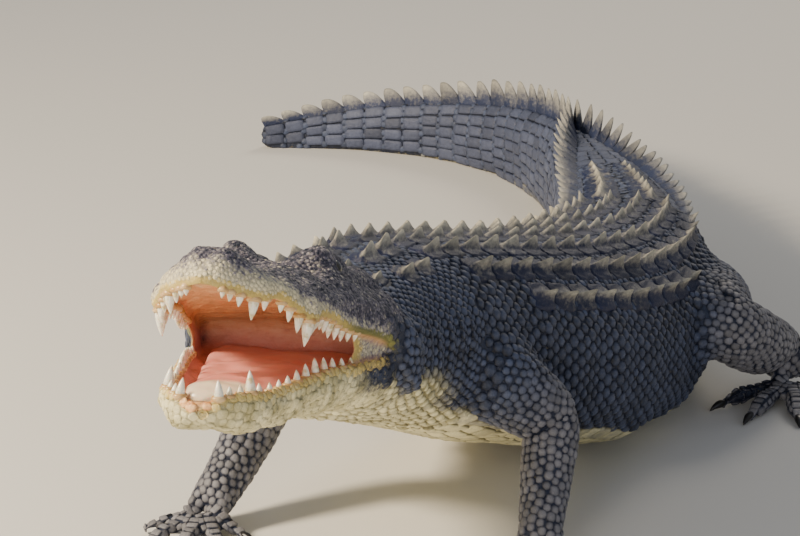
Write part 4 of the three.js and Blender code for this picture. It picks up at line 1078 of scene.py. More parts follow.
def horn(name, low, high, roughness=0.5, wear_and_light_from=0.45, wear_and_light_to=1.25):
    """Horn of the scales: the crown of each is lighter than the valleys round it, partly wear and partly painted
    highlight, and the dark blue valleys are painted shade.
    """
    made, tree, shader, place = finish(name, roughness)
    mottle = node(tree, "ShaderNodeTexNoise", {"Vector": place, "Scale": 60, "Detail": 6, "Roughness": 0.75})
    broad = node(tree, "ShaderNodeTexNoise", {"Vector": place, "Scale": 9, "Detail": 2})
    along_back = node(tree, "ShaderNodeMapping", {"Vector": place, "Rotation": (0, 0, math.radians(24)),
                                                  "Scale": (1, 0.22, 1)}).outputs[0]
    lines = node(tree, "ShaderNodeTexNoise", {"Vector": along_back, "Scale": 190, "Detail": 4, "Roughness": 0.7})
    crown = sum_of(tree, mottle.outputs["Fac"], 0.7, mark_of(tree, "crown"))
    crown = sum_of(tree, lines.outputs["Fac"], 0.9, crown)
    crown = sum_of(tree, broad.outputs["Fac"], 0.5, crown)
    # Crowns turn light between these heights, partly wear and partly painted highlight; the valleys keep the low
    # colour as painted shade
    crown = stretched(tree, crown, wear_and_light_from + 0.70, wear_and_light_to + 0.70)
    dark = blend(tree, crown, low, high)
    limb = blend(tree, crown, "#1a2136", "#77767a")
    dark = blend(tree, mark_of(tree, "limb"), dark, limb)
    pale = blend(tree, crown, "#7d7650", "#ddd5ab")
    ragged = sum_of(tree, mottle.outputs["Fac"], 0.9, mark_of(tree, "pale"))
    both = blend(tree, stretched(tree, ragged, 0.7, 1.2), dark, pale)
    tone = sum_of(tree, mark_of(tree, "tone"), 1.0, 1.0)
    toned = node(tree, "ShaderNodeHueSaturation", {"Color": both, "Value": tone})
    tree.links.new(toned.outputs[0], shader.inputs["Base Color"])
    grain = node(tree, "ShaderNodeTexNoise", {"Vector": place, "Scale": 420, "Detail": 5, "Roughness": 0.7})
    relief = sum_of(tree, lines.outputs["Fac"], 1.5, grain.outputs["Fac"])
    bump = node(tree, "ShaderNodeBump", {"Height": relief, "Strength": 0.55, "Distance": 0.0016})
    tree.links.new(bump.outputs[0], shader.inputs["Normal"])
    return made


# Back plates: bony plates under horn, each with a keel that rises towards the tail, in rows across
# the trunk: four to a side at the widest and two or three over neck and hips.
TRUNK_ROWS = 17
TRUNK_START = 232
TRUNK_ROW_STEP = 51
TRUNK_END = TRUNK_START + TRUNK_ROWS * TRUNK_ROW_STEP
TRUNK_PLATE_WIDTHS = (46, 49, 47, 43)
TRUNK_PLATE_HEIGHTS = (17, 20, 21, 18)
TRUNK_COLUMNS = (2, 3, 3, 4, 4, 4, 4, 4, 4, 4, 4, 4, 4, 3, 3, 3, 3)
PLATE_COVER = 0.97


def plate_edges(along):
    share = min(max((along - TRUNK_START) / (TRUNK_END - TRUNK_START), 0), 1)
    fullness = 0.74 + 0.3 * math.sin(math.pi * (share * 0.86 + 0.1))
    return np.concatenate([[0], np.cumsum(TRUNK_PLATE_WIDTHS) * fullness])


def keeled_plate(name, keel_width, keel_line, steps=14):
    """A plate one unit each way: a low dome with a sharp keel, and roots below the skin at its rim."""
    side = np.linspace(-0.5, 0.5, steps + 1)
    x, y = np.meshgrid(side, side, indexing="ij")
    rim = (np.abs(2 * x) ** 5 + np.abs(2 * y) ** 5) ** 0.2
    shrink = np.minimum(1, 1 / np.maximum(rim, 1e-6))
    x, y = x * np.maximum(shrink, 0.86), y * np.maximum(shrink, 0.86)
    keel = np.interp(y, *zip(*keel_line))
    sharp = np.exp(-((np.abs(x) / keel_width) ** 1.25))
    broad = np.clip(1 - np.abs(2 * x), 0, 1) ** 1.4
    grooves = 0.035 * np.sin(np.arctan2(x, y + 0.9) * 26) * np.clip(np.abs(x) * 5, 0, 1)
    height = 0.13 + keel * (0.60 * sharp + 0.30 * broad) + grooves
    height *= ramp(rim, 1.12, 0.84)
    height -= 0.22 * ramp(rim, 0.93, 1.0)
    points = np.stack([x, y, height], -1).reshape(-1, 3)
    n = steps + 1
    faces = [(i * n + j, (i + 1) * n + j, (i + 1) * n + j + 1, i * n + j + 1)
             for i in range(steps) for j in range(steps)]
    return template(name, points, faces, np.clip(height, 0, 1).ravel())


TRUNK_KEEL = [(-0.5, 0.1), (-0.3, 0.35), (0.0, 0.72), (0.22, 1.0), (0.36, 0.92), (0.46, 0.42), (0.5, 0.2)]
back_plate = keeled_plate("back plate", 0.075, TRUNK_KEEL)
# Back horn: dark blue valleys as painted shade, cream crowns partly wear and partly painted highlight
back_horn = horn("horn of the back with wear and painted light", "#111b3c", "#c9c2aa", wear_and_light_from=0.58, wear_and_light_to=1.3)

u, v, share = [], [], []
for row in range(TRUNK_ROWS):
    along = TRUNK_START + (row + 0.5) * TRUNK_ROW_STEP
    edges_across = plate_edges(along)
    for column in range(TRUNK_COLUMNS[row]):
        width = (edges_across[column + 1] - edges_across[column]) * PLATE_COVER
        middle = (edges_across[column] + edges_across[column + 1]) / 2
        for side in (1, -1):
            u.append(along)
            v.append(side * middle)
            share.append((width, 1, TRUNK_PLATE_HEIGHTS[column]))
angles = angle_across(u, v)
roots = roots_on(body_surface, u, angles, (6, 2), body_unwrap, share)
grow("back_plates", roots, back_plate, 1, TRUNK_ROW_STEP, 1, back_horn, variation=0.05, turn=0.04, seed=3)
take(roots["point"], 0.018)

# The shield of the neck: two cross rows of large plates behind a row of small ones.
# Each: along, distance from the midline, length, width, height
NECK_PLATES = [
    (66, 20, 34, 30, 12), (60, 58, 30, 28, 11), (134, 27, 54, 46, 23), (128, 76, 44, 40, 17),
    (190, 27, 50, 46, 22), (186, 78, 40, 38, 15),
]
neck_plate = keeled_plate("neck plate", 0.10,
                          [(-0.5, 0.15), (-0.2, 0.6), (0.12, 1.0), (0.34, 0.85), (0.5, 0.2)])
rows = [(along, side * distance, *sizes) for along, distance, *sizes in NECK_PLATES for side in (1, -1)]
u, v, lengths, widths, heights = np.array(rows, float).T
roots = roots_on(body_surface, u, angle_across(u, v), (6, 2), body_unwrap,
                 np.stack([widths, lengths, heights], 1))
grow("neck_plates", roots, neck_plate, 1, 1, 1, back_horn, variation=0.06, turn=0.06, seed=5)
take(roots["point"], 0.012)

# The crests of the tail: thin fins of horn that lean back, one on either side of the root of the
# tail, which meet in a single row half way along it.
TAIL_RINGS = 38
TAIL_START = TRUNK_END + 6
TAIL_RING_STEP = 46
TAIL_STEP_LOSS = 0.34
CRESTS_MEET = 17
CREST_WIDTH = 15
CREST_SPREAD = 0.74
crest_height_at = smooth_rows([(0, 18), (5, 31), (11, 42), (17, 47), (24, 43), (31, 30), (38, 13)])
CREST_SPLAY = 0.6
INNER_RINGS = 8
ring_numbers = np.arange(TAIL_RINGS)
ring_lengths = TAIL_RING_STEP - TAIL_STEP_LOSS * ring_numbers
ring_ends = TAIL_START + np.cumsum(ring_lengths)
ring_middles = ring_ends - ring_lengths / 2
ring_halves = body_frame(ring_middles)[4]
crest_apart = np.where(
    ring_numbers < CRESTS_MEET, ring_halves * CREST_SPREAD * (1 - (ring_numbers / CRESTS_MEET) ** 3), 0
)
FIN_BACK = [(0.0, 0.0), (0.06, 0.26), (0.18, 0.60), (0.34, 0.86), (0.50, 0.97), (0.64, 1.0), (0.78, 0.96),
            (0.89, 0.80), (0.96, 0.48), (1.0, 0.0)]


def fin_shape(name, columns=16, rows=9):
    """A fin one unit each way, from under the skin to a thin rounded edge."""
    share = np.linspace(0, 1, columns + 1)
    share = 0.5 - 0.5 * np.cos(share * np.pi)
    top = np.interp(share, *zip(*FIN_BACK))
    climb = np.linspace(1, -1, 2 * rows + 1)
    points, crown = [], []
    for s, h in zip(share, top):
        for c in climb:
            up = 1 - abs(c)
            z = -0.12 + (h + 0.12) * up**0.85
            flute = 1 + 0.10 * math.sin(s * 34) * (1 - up)
            half = 0.5 * max(1 - up**1.2, 0) ** 0.75 * (0.35 + 0.65 * math.sin(math.pi * (0.08 + 0.84 * s)) ** 0.6)
            points.append((math.copysign(half * flute, c) if c else 0.0, s - 0.5 + 0.22 * up * h, z))
            crown.append(max(z, 0) ** 1.4)
    n = 2 * rows + 1
    faces = [(i * n + j, i * n + j + 1, (i + 1) * n + j + 1, (i + 1) * n + j)
             for i in range(columns) for j in range(n - 1)]
    return template(name, points, faces, crown)


fin = fin_shape("fin")
# Crest horn: dark blue valleys as painted shade, pale crowns partly wear and partly painted highlight
fin_horn = horn("worn horn of the crests", "#27314f", "#c3bfae", wear_and_light_from=0.45, wear_and_light_to=1.5)
u, v, share = [], [], []
for ring in ring_numbers:
    height = float(crest_height_at(ring)[0])
    width = min(CREST_WIDTH, ring_halves[ring] * 0.8)
    for side in (1, -1) if crest_apart[ring] > 0 else (0,):
        u.append(ring_middles[ring])
        v.append(side * crest_apart[ring])
        share.append((width, ring_lengths[ring] * 1.08, height * 0.98))
splay = CREST_SPLAY * np.array(v) / crest_apart.max()
roots = roots_on(body_surface, u, angle_across(u, v), (6, 2), body_unwrap, share, splay=splay)
grow("tail_crests", roots, fin, 1, 1, 1, fin_horn, variation=0.05, turn=0.05, seed=7)
u, v, share = [], [], []
for ring in ring_numbers[:INNER_RINGS]:
    for side in (1, -1):
        u.append(ring_middles[ring])
        v.append(side * ring_halves[ring] * 0.3)
        share.append((ring_halves[ring] * 0.5, ring_lengths[ring], 16.0 - ring))
roots = roots_on(body_surface, u, angle_across(u, v), (6, 2), body_unwrap, share)
grow("tail_plates", roots, back_plate, 1, 1, 1, back_horn, variation=0.05, turn=0.05, seed=9)

# The coat of scales: tiles in rings round the tail and in cross rows on the belly, keeled rounded
# scales on the flanks, small ones on neck, throat, jaw and legs, and pebbles on the head.
tile = scale_shape("tile", 16, 5.5, [(1.0, -0.45), (0.985, 0.35), (0.90, 0.82), (0.5, 1.0)])
round_scale = scale_shape("keeled scale", 10, 2.6,
                          [(1.0, -0.4), (0.95, 0.25), (0.66, 0.62), (0.3, 0.74)], keel=0.30)
small_scale = scale_shape("small scale", 8, 2.4, [(1.0, -0.4), (0.94, 0.28), (0.64, 0.78), (0.28, 0.95)])
flat_scale = scale_shape("flat scale", 8, 3.2, [(1.0, -0.5), (0.94, 0.40), (0.70, 0.90)])
pebble = scale_shape("pebble", 7, 2.2, [(1.0, -0.5), (0.86, 0.45), (0.45, 0.92)])
# Flank and tail horn: dark blue valleys as painted shade, lighter crowns partly painted highlight
flank_horn = horn("horn of flanks and legs", "#0e1424", "#465069", wear_and_light_from=0.4, wear_and_light_to=1.3)
tail_horn = horn("horn of the tail", "#0d152c", "#59617a", wear_and_light_from=0.42, wear_and_light_to=1.75)


def half_girth(along):
    """Distance over the skin from the midline of the back to that of the belly."""
    line = body_point(np.float64(along), ANGLE_STEPS)
    return np.linalg.norm(np.diff(line, axis=0), axis=1).sum()


def girth_to(along, angle):
    line = body_point(np.float64(along), np.linspace(0, angle, 40))
    return np.linalg.norm(np.diff(line, axis=0), axis=1).sum()


# Tail: each ring has a row of tiles from the crest down to the underside
u, v, share = [], [], []
for ring in ring_numbers:
    along, length = ring_middles[ring], ring_lengths[ring]
    apart = crest_apart[ring]
    room = CREST_WIDTH * 0.42 if ring < TAIL_RINGS - 6 else 3
    spans = [(apart + room, half_girth(along))]
    if ring >= INNER_RINGS and apart > room + 6:
        spans.append((0, apart - room))
    elif ring < INNER_RINGS:
        spans.append((ring_halves[ring] * 0.56, apart - room))
        spans.append((0, ring_halves[ring] * 0.06))
    for start, end in spans:
        if end - start < 7:
            continue
        count = max(1, round((end - start) / 18))
        for i in range(count):
            width = (end - start) / count
            for side in (1, -1):
                u.append(along)
                v.append(side * (start + (i + 0.5) * width))
                share.append((width * 0.97, length * 0.97, 1))
roots = roots_on(body_surface, u, angle_across(u, v), (6, 2), body_unwrap, share, keep=0.012)
grow("tail_tiles", roots, tile, 1, 1, 3.0, tail_horn, variation=0.05, turn=0.04, seed=11,
     marks=marks_at(roots["point"]))

# Belly: cross rows of tiles
BELLY_ANGLE = 128
BELLY_STEP = 29
u, v, share = [], [], []
for along in np.arange(270, TAIL_START - 10, BELLY_STEP):
    start, end = girth_to(along, BELLY_ANGLE), half_girth(along)
    count = round((end - start) / 26)
    width = (end - start) / count
    for i in range(count):
        for side in (1, -1):
            u.append(along)
            v.append(side * (start + (i + 0.5) * width))
            share.append((width * 0.97, BELLY_STEP * 0.97, 1))
roots = roots_on(body_surface, u, angle_across(u, v), (6, 2), body_unwrap, share, room=0.001, keep=0.013)
grow("belly_tiles", roots, tile, 1, 1, 2.4, flank_horn, variation=0.04, turn=0.03, seed=13,
     marks=marks_at(roots["point"]))

# Flanks: keeled scales in staggered rows
FLANK_STEP = 16
u, v = [], []
for number, along in enumerate(np.arange(252, TAIL_START + 4, FLANK_STEP * 0.92)):
    row = int((along - TRUNK_START) // TRUNK_ROW_STEP)
    start = plate_edges(along)[TRUNK_COLUMNS[row]] + 4 if row < TRUNK_ROWS else 0
    end = girth_to(along, BELLY_ANGLE) if along > 262 else half_girth(along)
    across = np.arange(start + (number % 2) * FLANK_STEP / 2, end, FLANK_STEP)
    for side in (1, -1):
        u += [along] * len(across)
        v += list(side * across)
sizes = np.random.default_rng(5).uniform(0.82, 1.08, len(u))
share = np.stack([sizes, sizes, sizes], 1)
roots = roots_on(body_surface, u, angle_across(u, v), (6, 2), body_unwrap, share,
                 room=0.006, keep=0.0075, lean=0.12)
grow("flank_scales", roots, round_scale, 16.5, 18, 4.6, flank_horn, turn=0.12, seed=17,
     marks=marks_at(roots["point"]))

# Neck and throat: smaller rounded scales all round
NECK_STEP = 11.5
u, v = [], []
for number, along in enumerate(np.arange(-30, 254, NECK_STEP * 0.9)):
    across = np.arange((number % 2) * NECK_STEP / 2, half_girth(along), NECK_STEP)
    for side in (1, -1):
        u += [along] * len(across)
        v += list(side * across)
sizes = np.random.default_rng(6).uniform(0.8, 1.1, len(u))
share = np.stack([sizes, sizes, sizes], 1)
roots = roots_on(body_surface, u, angle_across(u, v), (6, 2), body_unwrap, share,
                 room=0.005, keep=0.0055, reach=0.010)
grow("neck_scales", roots, small_scale, 12, 12.5, 3.0, flank_horn, turn=0.2, seed=19,
     marks=marks_at(roots["point"]))


# Toes: a row of broad scutes on top and a row on either side
def surface_of(grid):
    """A function that gives the points of a closed loft at fractional ring and point numbers."""
    rings, count = grid.shape[:2]

    def at(ring, number):
        ring = np.clip(ring, 0, rings - 1.001)
        i, j = np.floor(ring).astype(int), np.floor(number).astype(int)
        s, t = (ring - i)[..., None], (number - j)[..., None]
        a, b = grid[i, j % count], grid[i, (j + 1) % count]
        c, d = grid[i + 1, j % count], grid[i + 1, (j + 1) % count]
        return (a * (1 - t) + b * t) * (1 - s) + (c * (1 - t) + d * t) * s

    return at


TOE_STEP = 9.5
groups = []
for number, grid in enumerate(toe_grids):
    middles = grid.mean(axis=1)
    length = np.linalg.norm(np.diff(middles, axis=0), axis=1).sum()
    count = int(length * 0.92 / TOE_STEP)
    rings = 1 + (np.arange(count) + 0.5) * (TOE_RINGS - 2) / count
    left_edge, low, right_edge, high = unwraps[f"toe {number}"]
    for turn, width in ((0.25, 1.7), (0.05, 0.85), (0.45, 0.85)):
        thickness = np.interp(rings, [0, TOE_RINGS * 0.6, TOE_RINGS], [1.0, 0.8, 0.45])
        groups.append(roots_on(
            surface_of(grid), rings, np.full(len(rings), turn * TOE_POINTS), (0.5, 0.3),
            lambda ring, point, corner=(left_edge, low): (
                corner[0] + 0.05 * ring / TOE_RINGS, corner[1] + 0.18 * point / TOE_POINTS
            ),
            np.stack([thickness * width, np.ones(len(rings)), thickness], 1), reach=0.008, room=0.003, keep=0.004,
        ))
roots = {key: np.concatenate([group[key] for group in groups]) for key in groups[0]}
grow("toe_scutes", roots, tile, 9.5, 9.8, 2.4, flank_horn, variation=0.05, seed=29,
     marks=marks_at(roots["point"]))

# Small scales: packed close over legs, jaw and head, wherever the skin is still bare
skin_mesh.calc_loop_triangles()
corners_of = np.empty(len(skin_mesh.loop_triangles) * 3, int)
skin_mesh.loop_triangles.foreach_get("vertices", corners_of)
corners_of = corners_of.reshape(-1, 3)
skin_normals = np.empty(len(skin_co) * 3)
skin_mesh.vertices.foreach_get("normal", skin_normals)
skin_normals = skin_normals.reshape(-1, 3)
mark = {name: marks[:, i] for i, name in enumerate(MARKS)}
horny = (mark["lining"] < 0.05) & (mark["rim"] < 0.93)
on_skull = horny & (mark["skull"] > 0.5)
on_jaw = horny & ~on_skull & (behind_head < 0.93)
on_body = horny & ~on_skull & ~on_jaw & (skin_co[:, 2] > 0.0015)
SAMPLE = 0.0020


def packed_roots(wanted, spacing, towards, seed, grades=(0.85, 1.1)):
    """Roots close together over the wanted skin, taken in order along a direction."""
    chance = np.random.default_rng(seed)
    triangles = corners_of[wanted[corners_of].all(axis=1)]
    a, b, c = (skin_co[triangles[:, i]] for i in range(3))
    area = np.linalg.norm(np.cross(b - a, c - a), axis=1) / 2
    count = np.floor(area / SAMPLE**2 + chance.uniform(0, 1, len(area))).astype(int)
    chosen = np.repeat(np.arange(len(triangles)), count)
    s, t = np.sqrt(chance.uniform(0, 1, len(chosen))), chance.uniform(0, 1, len(chosen))
    weights = np.stack([1 - s, s * (1 - t), s * t], 1)
    of = triangles[chosen]
    points = np.einsum("ij,ijk->ik", weights, skin_co[of])
    radius = spacing * MM / 2
    kept = []
    for i in np.argsort(points @ np.asarray(towards)):
        if is_free(points[i], radius):
            take([points[i]], radius)
            kept.append(i)
    weights, of = weights[kept, :, None], of[kept]
    values = {
        "point": points[kept],
        "facing": (weights * skin_normals[of]).sum(axis=1),
        "tailward": (weights * flow[of]).sum(axis=1) + 1e-4,
        "share": np.repeat(chance.uniform(*grades, (len(kept), 1)), 3, axis=1),
        "root": np.concatenate([unwrapped[of[:, 0]], np.zeros((len(kept), 1))], axis=1),
    }
    return {key: np.array(value, np.float32) for key, value in values.items()}


LEG_SCALE, JAW_SCALE, HEAD_SCALE = 10.0, 9.5, 4.4
LEGS_PART = 620
forward = skin_co[:, 1] < body_frame(np.float64(LEGS_PART))[0][1] * MM
straight = spine_places < 2400
on_left = skin_co[:, 0] > np.interp(skin_co[:, 1], spine_y[straight] * MM, spine_x[straight] * MM)
for name, where, seed in (("front", forward, 23), ("hind_left", ~forward & on_left, 24),
                          ("hind_right", ~forward & ~on_left, 25)):
    roots = packed_roots(on_body & where, LEG_SCALE, (0.1, 0.15, -1), seed)
    grow(f"leg_scales_{name}", roots, small_scale, 12.6, 13.4, 2.8, flank_horn, turn=0.2, seed=seed,
         marks=marks_at(roots["point"]))
roots = packed_roots(on_jaw, JAW_SCALE, skull_axes[0], 31)
grow("jaw_scales", roots, flat_scale, 10.6, 11.4, 1.2, hide, turn=0.5, seed=31,
     marks=marks_at(roots["point"]))
roots = packed_roots(on_skull, HEAD_SCALE, skull_axes[0], 37)
grow("head_pebbles", roots, pebble, 5.3, 5.3, 0.55, hide, turn=3.0, seed=37,
     marks=marks_at(roots["point"]))

# Teeth: pointed cones of ivory, a little curved, that stand in collars of gum. Place behind the tip
# of the jaw and length in millimetres
UPPER_TEETH = [
    (0.013, 8), (0.026, 9), (0.048, 12), (0.086, 21), (0.126, 11), (0.190, 10), (0.225, 13), (0.261, 17),
    (0.302, 27), (0.342, 16), (0.378, 13), (0.412, 13), (0.446, 15), (0.480, 17), (0.520, 15), (0.560, 13),
    (0.605, 11), (0.650, 9),
]
LOWER_TEETH = [
    (0.018, 19), (0.040, 10), (0.068, 10), (0.102, 22), (0.145, 10), (0.200, 9), (0.250, 9), (0.300, 10),
    (0.350, 12), (0.400, 15), (0.450, 17), (0.500, 15), (0.550, 12), (0.605, 10), (0.660, 9),
]
TOOTH_INSET = 0.018
TOOTH_ROOT = 7
TOOTH_SIDES = 12
TOOTH_PROFILE = [(-1.0, 0.9), (0.0, 1.0), (0.2, 0.95), (0.4, 0.82), (0.6, 0.63), (0.78, 0.42), (0.92, 0.2),
                 (1.0, 0.05)]
COLLAR_PROFILE = [(-5.0, 0.4), (-0.5, 3.0), (1.6, 1.9), (2.3, 0.7), (1.4, -0.3)]


def joined(name, shapes, finish_given):
    """One piece from many shapes, each given as points in millimetres and faces."""
    points, faces = [], []
    for shape_points, shape_faces in shapes:
        start = len(points)
        points += [tuple(np.asarray(p) * MM) for p in shape_points]
        faces += [tuple(start + i for i in face) for face in shape_faces]
    mesh = bpy.data.meshes.new(name)
    mesh.from_pydata(points, [], faces)
    mesh.shade_smooth()
    mesh.materials.append(finish_given)
    made = bpy.data.objects.new(name, mesh)
    bpy.context.scene.collection.objects.link(made)
    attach(made, "root")
    return made


def tube(centres, across, over, radii, closed_end=True):
    """Rings of points round a line of centres, with the faces between them."""
    sides = TOOTH_SIDES
    turn = np.arange(sides) * 2 * np.pi / sides
    points = [c + r * (math.cos(t) * across + math.sin(t) * over)
              for c, r in zip(centres, radii) for t in turn]
    faces = ring_faces(len(centres), sides)
    if closed_end:
        faces.append(tuple(range(len(points) - sides, len(points))))
    faces.append(tuple(range(sides - 1, -1, -1)))
    return points, faces


tooth_chance = np.random.default_rng(21)


def tooth_row(rows, outline_at, lip_column, to_point, direction):
    """Teeth and their collars along both sides of a jaw."""
    crowns, collars = [], []
    for place, length in rows:
        outline = outline_at(place)
        for side in (1, -1):
            across = outline[0] - TOOTH_INSET
            base = to_point(place, side * across, outline[lip_column])
            grown = length * tooth_chance.uniform(0.95, 1.03)
            up = to_point(place, side * across, outline[lip_column] + direction) - base
            up /= np.linalg.norm(up)
            inwards = to_point(place, 0, outline[lip_column]) - base
            inwards /= np.linalg.norm(inwards)
            back = np.cross(up, inwards)
            if back @ (to_point(place + 0.01, 0, 0) - to_point(place, 0, 0)) < 0:
                back = -back
            radius = 2.2 + 0.17 * length
            shares = np.array([s for s, _ in TOOTH_PROFILE])
            heights = np.where(shares < 0, shares * TOOTH_ROOT, shares * grown)
            bend = np.maximum(shares, 0) ** 1.8 * grown
            centres = base + up * heights[:, None] + (inwards * 0.10 + back * 0.13) * bend[:, None]
            crowns.append(tube(centres, inwards, back, [radius * r for _, r in TOOTH_PROFILE]))
            centres = [base + up * h for h, _ in COLLAR_PROFILE]
            collars.append(tube(centres, inwards, back, [radius + r for _, r in COLLAR_PROFILE], closed_end=False))
    return crowns, collars


upper_crowns, upper_collars = tooth_row(UPPER_TEETH, head_at, 6, head_point, -1)
lower_crowns, lower_collars = tooth_row(LOWER_TEETH, jaw_at, 1, jaw_point, 1)
# Ivory: enamel with a wet gloss, faintly brown in fine lengthways cracks
ivory, tree, shader, place = finish("ivory enamel", 0.22)
stain = node(tree, "ShaderNodeTexNoise", {"Vector": place, "Scale": 150, "Detail": 4})
ivory_colour = colours(tree, stain.outputs["Fac"], [(0.3, "#c9b784"), (0.55, "#f6f1df")])
tree.links.new(ivory_colour, shader.inputs["Base Color"])
shader.inputs["Subsurface Weight"].default_value = 0.15
shader.inputs["Subsurface Scale"].default_value = 0.004
# Gum: moist skin round the teeth, ochre to flesh pink
gum, tree, shader, place = finish("moist gum", 0.3)
blush = node(tree, "ShaderNodeTexNoise", {"Vector": place, "Scale": 90, "Detail": 4})
gum_colour = colours(tree, blush.outputs["Fac"], [(0.35, "#b98d4c"), (0.65, "#d8b98a")])
tree.links.new(gum_colour, shader.inputs["Base Color"])
joined("teeth", upper_crowns + lower_crowns, ivory)
joined("gums", upper_collars + lower_collars, gum)

# Claws: dark horn on the inner three toes of each foot, curved down to the floor
CLAW_PROFILE = [(-0.35, 0.9), (0.0, 1.0), (0.3, 0.9), (0.6, 0.66), (0.85, 0.36), (1.0, 0.08)]
CLAW_LENGTH, CLAW_RADIUS = 19, 5.2
claws = []
for _, _, digit, line in toe_lines:
    if digit > 2:
        continue
    ahead = (line[3] - line[2]) * [1, 1, 0]
    ahead /= np.linalg.norm(ahead)
    aside = np.array([-ahead[1], ahead[0], 0])
    start = line[3] - ahead * 3 + [0, 0, 3.5]
    centres = [start + ahead * CLAW_LENGTH * s - [0, 0, 6.5 * max(s, 0) ** 2] for s, _ in CLAW_PROFILE]
    radii = [CLAW_RADIUS * r for _, r in CLAW_PROFILE]
    claws.append(tube(np.array(centres), aside, np.array([0, 0, 1.0]), radii))
claw_horn, tree, shader, place = finish("dark horn of the claws", 0.35)
shader.inputs["Base Color"].default_value = linear("#1d1b1a")
joined("claws", claws, claw_horn)

# Tongue: broad and flat, on the floor of the lower jaw
TONGUE_ROWS = [(0.150, 0.030, -0.030), (0.170, 0.068, -0.018), (0.230, 0.094, -0.006), (0.400, 0.122, 0.000),
               (0.600, 0.156, 0.004), (0.760, 0.184, 0.008), (0.830, 0.190, 0.004)]
TONGUE_ROOT = -0.050
tongue_at = smooth_rows(TONGUE_ROWS)
tongue_places = steps_between((0.150, 0.17, 0.004), (0.17, 0.83, 0.01))
tongue_half, tongue_top = tongue_at(tongue_places).T
TONGUE_CORNERS = [(0, 0.0), (0.45, 0.0), (0.85, -0.006), (1.0, -0.018), (0.92, -0.5), (0, -1.0)]
corners = np.stack([
    np.stack([tongue_half * a, tongue_top + b if b > -0.1 else TONGUE_ROOT + 0 * tongue_top], -1)
    for a, b in TONGUE_CORNERS
], 1)
tongue_flat = both_halves(sections_of(corners, [6, 6, 4, 4, 4]))
tongue_grid = jaw_point(tongue_places[:, None], tongue_flat[..., 0], tongue_flat[..., 1])
ripple = rough(tongue_grid, 14, 0.8) + rough(tongue_grid, 45, 1.6)
tongue_grid = tongue_grid + normals_of(tongue_grid) * ripple[..., None]
flesh_pink, tree, shader, place = finish("moist tongue", 0.28)
tip_share = node(tree, "ShaderNodeTexNoise", {"Vector": place, "Scale": 70, "Detail": 5})
tip_share = sum_of(tree, tip_share.outputs["Fac"], 0.8, mark_of(tree, "tip"))
tongue_colour = colours(tree, tip_share, [(0.5, "#eb9d92"), (1.0, "#efe2c8")])
tree.links.new(tongue_colour, shader.inputs["Base Color"])
shader.inputs["Subsurface Weight"].default_value = 0.2
shader.inputs["Subsurface Scale"].default_value = 0.006
tongue = grid_mesh("tongue_flesh", tongue_grid)
tip = np.broadcast_to(ramp(tongue_places, 0.30, 0.20)[:, None], tongue_grid.shape[:2]).reshape(-1)
tip_mark = tongue.data.attributes.new("tip", "FLOAT", "POINT")
tip_mark.data.foreach_set("value", np.append(tip, [1, 0]).astype(np.float32))
tongue.data.shade_smooth()
tongue.data.materials.append(flesh_pink)
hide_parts("tongue")
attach(tongue, "root")
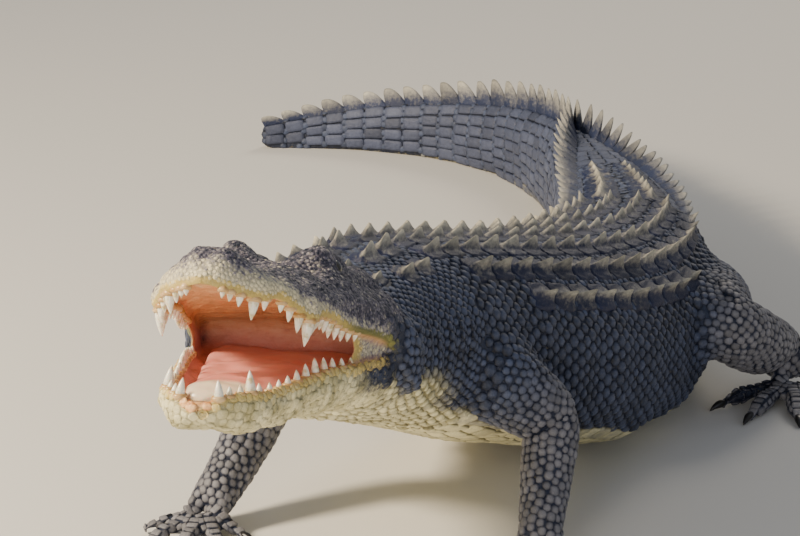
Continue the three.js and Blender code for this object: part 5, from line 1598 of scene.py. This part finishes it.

# Eyes: glossy balls with a bronze iris, painted near black as painted shade under the brow, and an upright slit,
# under thick lids
EYE_RADIUS = 15
EYE_PLACE = (0.672, 0.136, 0.146)
LID_RADIUS, LID_THICKNESS = 13, 5
eye_wet, tree, shader, place = finish("wet eye", 0.05)
iris_colour = node(tree, "ShaderNodeTexNoise", {"Vector": place, "Scale": 400, "Detail": 5})
# The iris is painted near black: painted shade under the brow
iris_with_painted_shade = colours(tree, iris_colour.outputs["Fac"], [(0.35, "#14130a"), (0.65, "#3d3516")])
pupil = stretched(tree, mark_of(tree, "slit"), 0.9, 1.1)
tree.links.new(blend(tree, pupil, iris_with_painted_shade, "#050505"), shader.inputs["Base Color"])
shader.inputs["Coat Weight"].default_value = 0.6
lids = []
EYE_RINGS, EYE_SIDES = 24, 40
LID_RINGS, LID_SIDES = 48, 12
for side, name in ((1, "left"), (-1, "right")):
    centre = head_point(EYE_PLACE[0], side * EYE_PLACE[1], EYE_PLACE[2])
    facing = skull_axes[1] * side + skull_axes[2] * 0.62 - skull_axes[0] * 0.3
    facing /= np.linalg.norm(facing)
    lengthways = skull_axes[0] - facing * (skull_axes[0] @ facing)
    lengthways /= np.linalg.norm(lengthways)
    upright = np.cross(facing, lengthways)
    polar = np.linspace(0.02, np.pi - 0.02, EYE_RINGS)[:, None]
    turn = (np.arange(EYE_SIDES) * 2 * np.pi / EYE_SIDES)[None, :]
    x, y, z = np.sin(polar) * np.cos(turn), np.sin(polar) * np.sin(turn), np.cos(polar) + 0 * turn
    round_eye = x[..., None] * lengthways + y[..., None] * upright + z[..., None] * facing
    grid = centre + EYE_RADIUS * 0.93 * round_eye
    ball = grid_mesh(f"eye_ball_{name}", grid)
    slit = np.clip(1 - (y / 0.62) ** 2, 0, 1) * 0.10 / np.maximum(np.abs(x), 1e-3)
    slit = np.where(z > 0, slit, 0).reshape(-1)
    ball.data.attributes.new("slit", "FLOAT", "POINT").data.foreach_set(
        "value", np.append(slit, [2, 0]).clip(0, 2).astype(np.float32)
    )
    ball.data.shade_smooth()
    ball.data.materials.append(eye_wet)
    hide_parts(f"eye_{name}")
    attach(ball, "root")
    turn = np.arange(LID_RINGS) * 2 * np.pi / LID_RINGS
    ring_centre = centre + facing * EYE_RADIUS * 0.48
    path = (
        ring_centre
        + np.cos(turn)[:, None] * lengthways * LID_RADIUS * 1.3
        + np.sin(turn)[:, None] * upright * LID_RADIUS * 0.86
    )
    outwards = path - ring_centre
    outwards /= np.linalg.norm(outwards, axis=1, keepdims=True)
    round_tube = np.arange(LID_SIDES) * 2 * np.pi / LID_SIDES
    wrinkle = 1 + 0.08 * np.sin(turn * 11)[:, None]
    lid_points = (
        path[:, None]
        + outwards[:, None] * (np.cos(round_tube) * LID_THICKNESS * 1.5)[None, :, None]
        + facing * (np.sin(round_tube)[None, :] * LID_THICKNESS * wrinkle)[..., None]
    ).reshape(-1, 3)
    lid_faces = ring_faces(LID_RINGS, LID_SIDES, closed=True)
    lids.append((lid_points, [(a, d, c, b) for a, b, c, d in lid_faces]))
eye_lids = joined("eye_lids", lids, hide)
# Ear flaps: a long lid of skin below each edge of the skull table, behind the eye
FLAP_RINGS, FLAP_SIDES = 26, 8
flaps = []
for side in (1, -1):
    place = np.linspace(0.775, 0.960, FLAP_RINGS)
    rows = head_at(place)
    middle = head_point(place, side * (rows[:, 2] + 0.012), rows[:, 3] - 0.016)
    swelling = np.sin(np.pi * np.linspace(0.04, 0.96, FLAP_RINGS))[:, None, None] ** 0.5
    turn = np.arange(FLAP_SIDES) * 2 * np.pi / FLAP_SIDES
    down = skull_axes[1] * side * 0.5 - skull_axes[2]
    out = skull_axes[1] * side + skull_axes[2] * 0.5
    ring = np.cos(turn)[:, None] * down * 6.0 + np.sin(turn)[:, None] * out * 2.6
    points = (middle[:, None] + ring * swelling).reshape(-1, 3)
    flaps.append((points, [(a, d, c, b) for a, b, c, d in ring_faces(FLAP_RINGS, FLAP_SIDES)]))
ear_flaps = joined("ear_flaps", flaps, hide)
# Lids and ear flaps take the skull's colours, painted a little darker as painted shade under the brow and in the
# ear slit
for made in (eye_lids, ear_flaps):
    for mark_name, value in (("skull", 1.0), ("tone", -0.12)):
        values = np.full(len(made.data.vertices), value, np.float32)
        made.data.attributes.new(mark_name, "FLOAT", "POINT").data.foreach_set("value", values)

for made in templates:
    bpy.data.objects.remove(made)
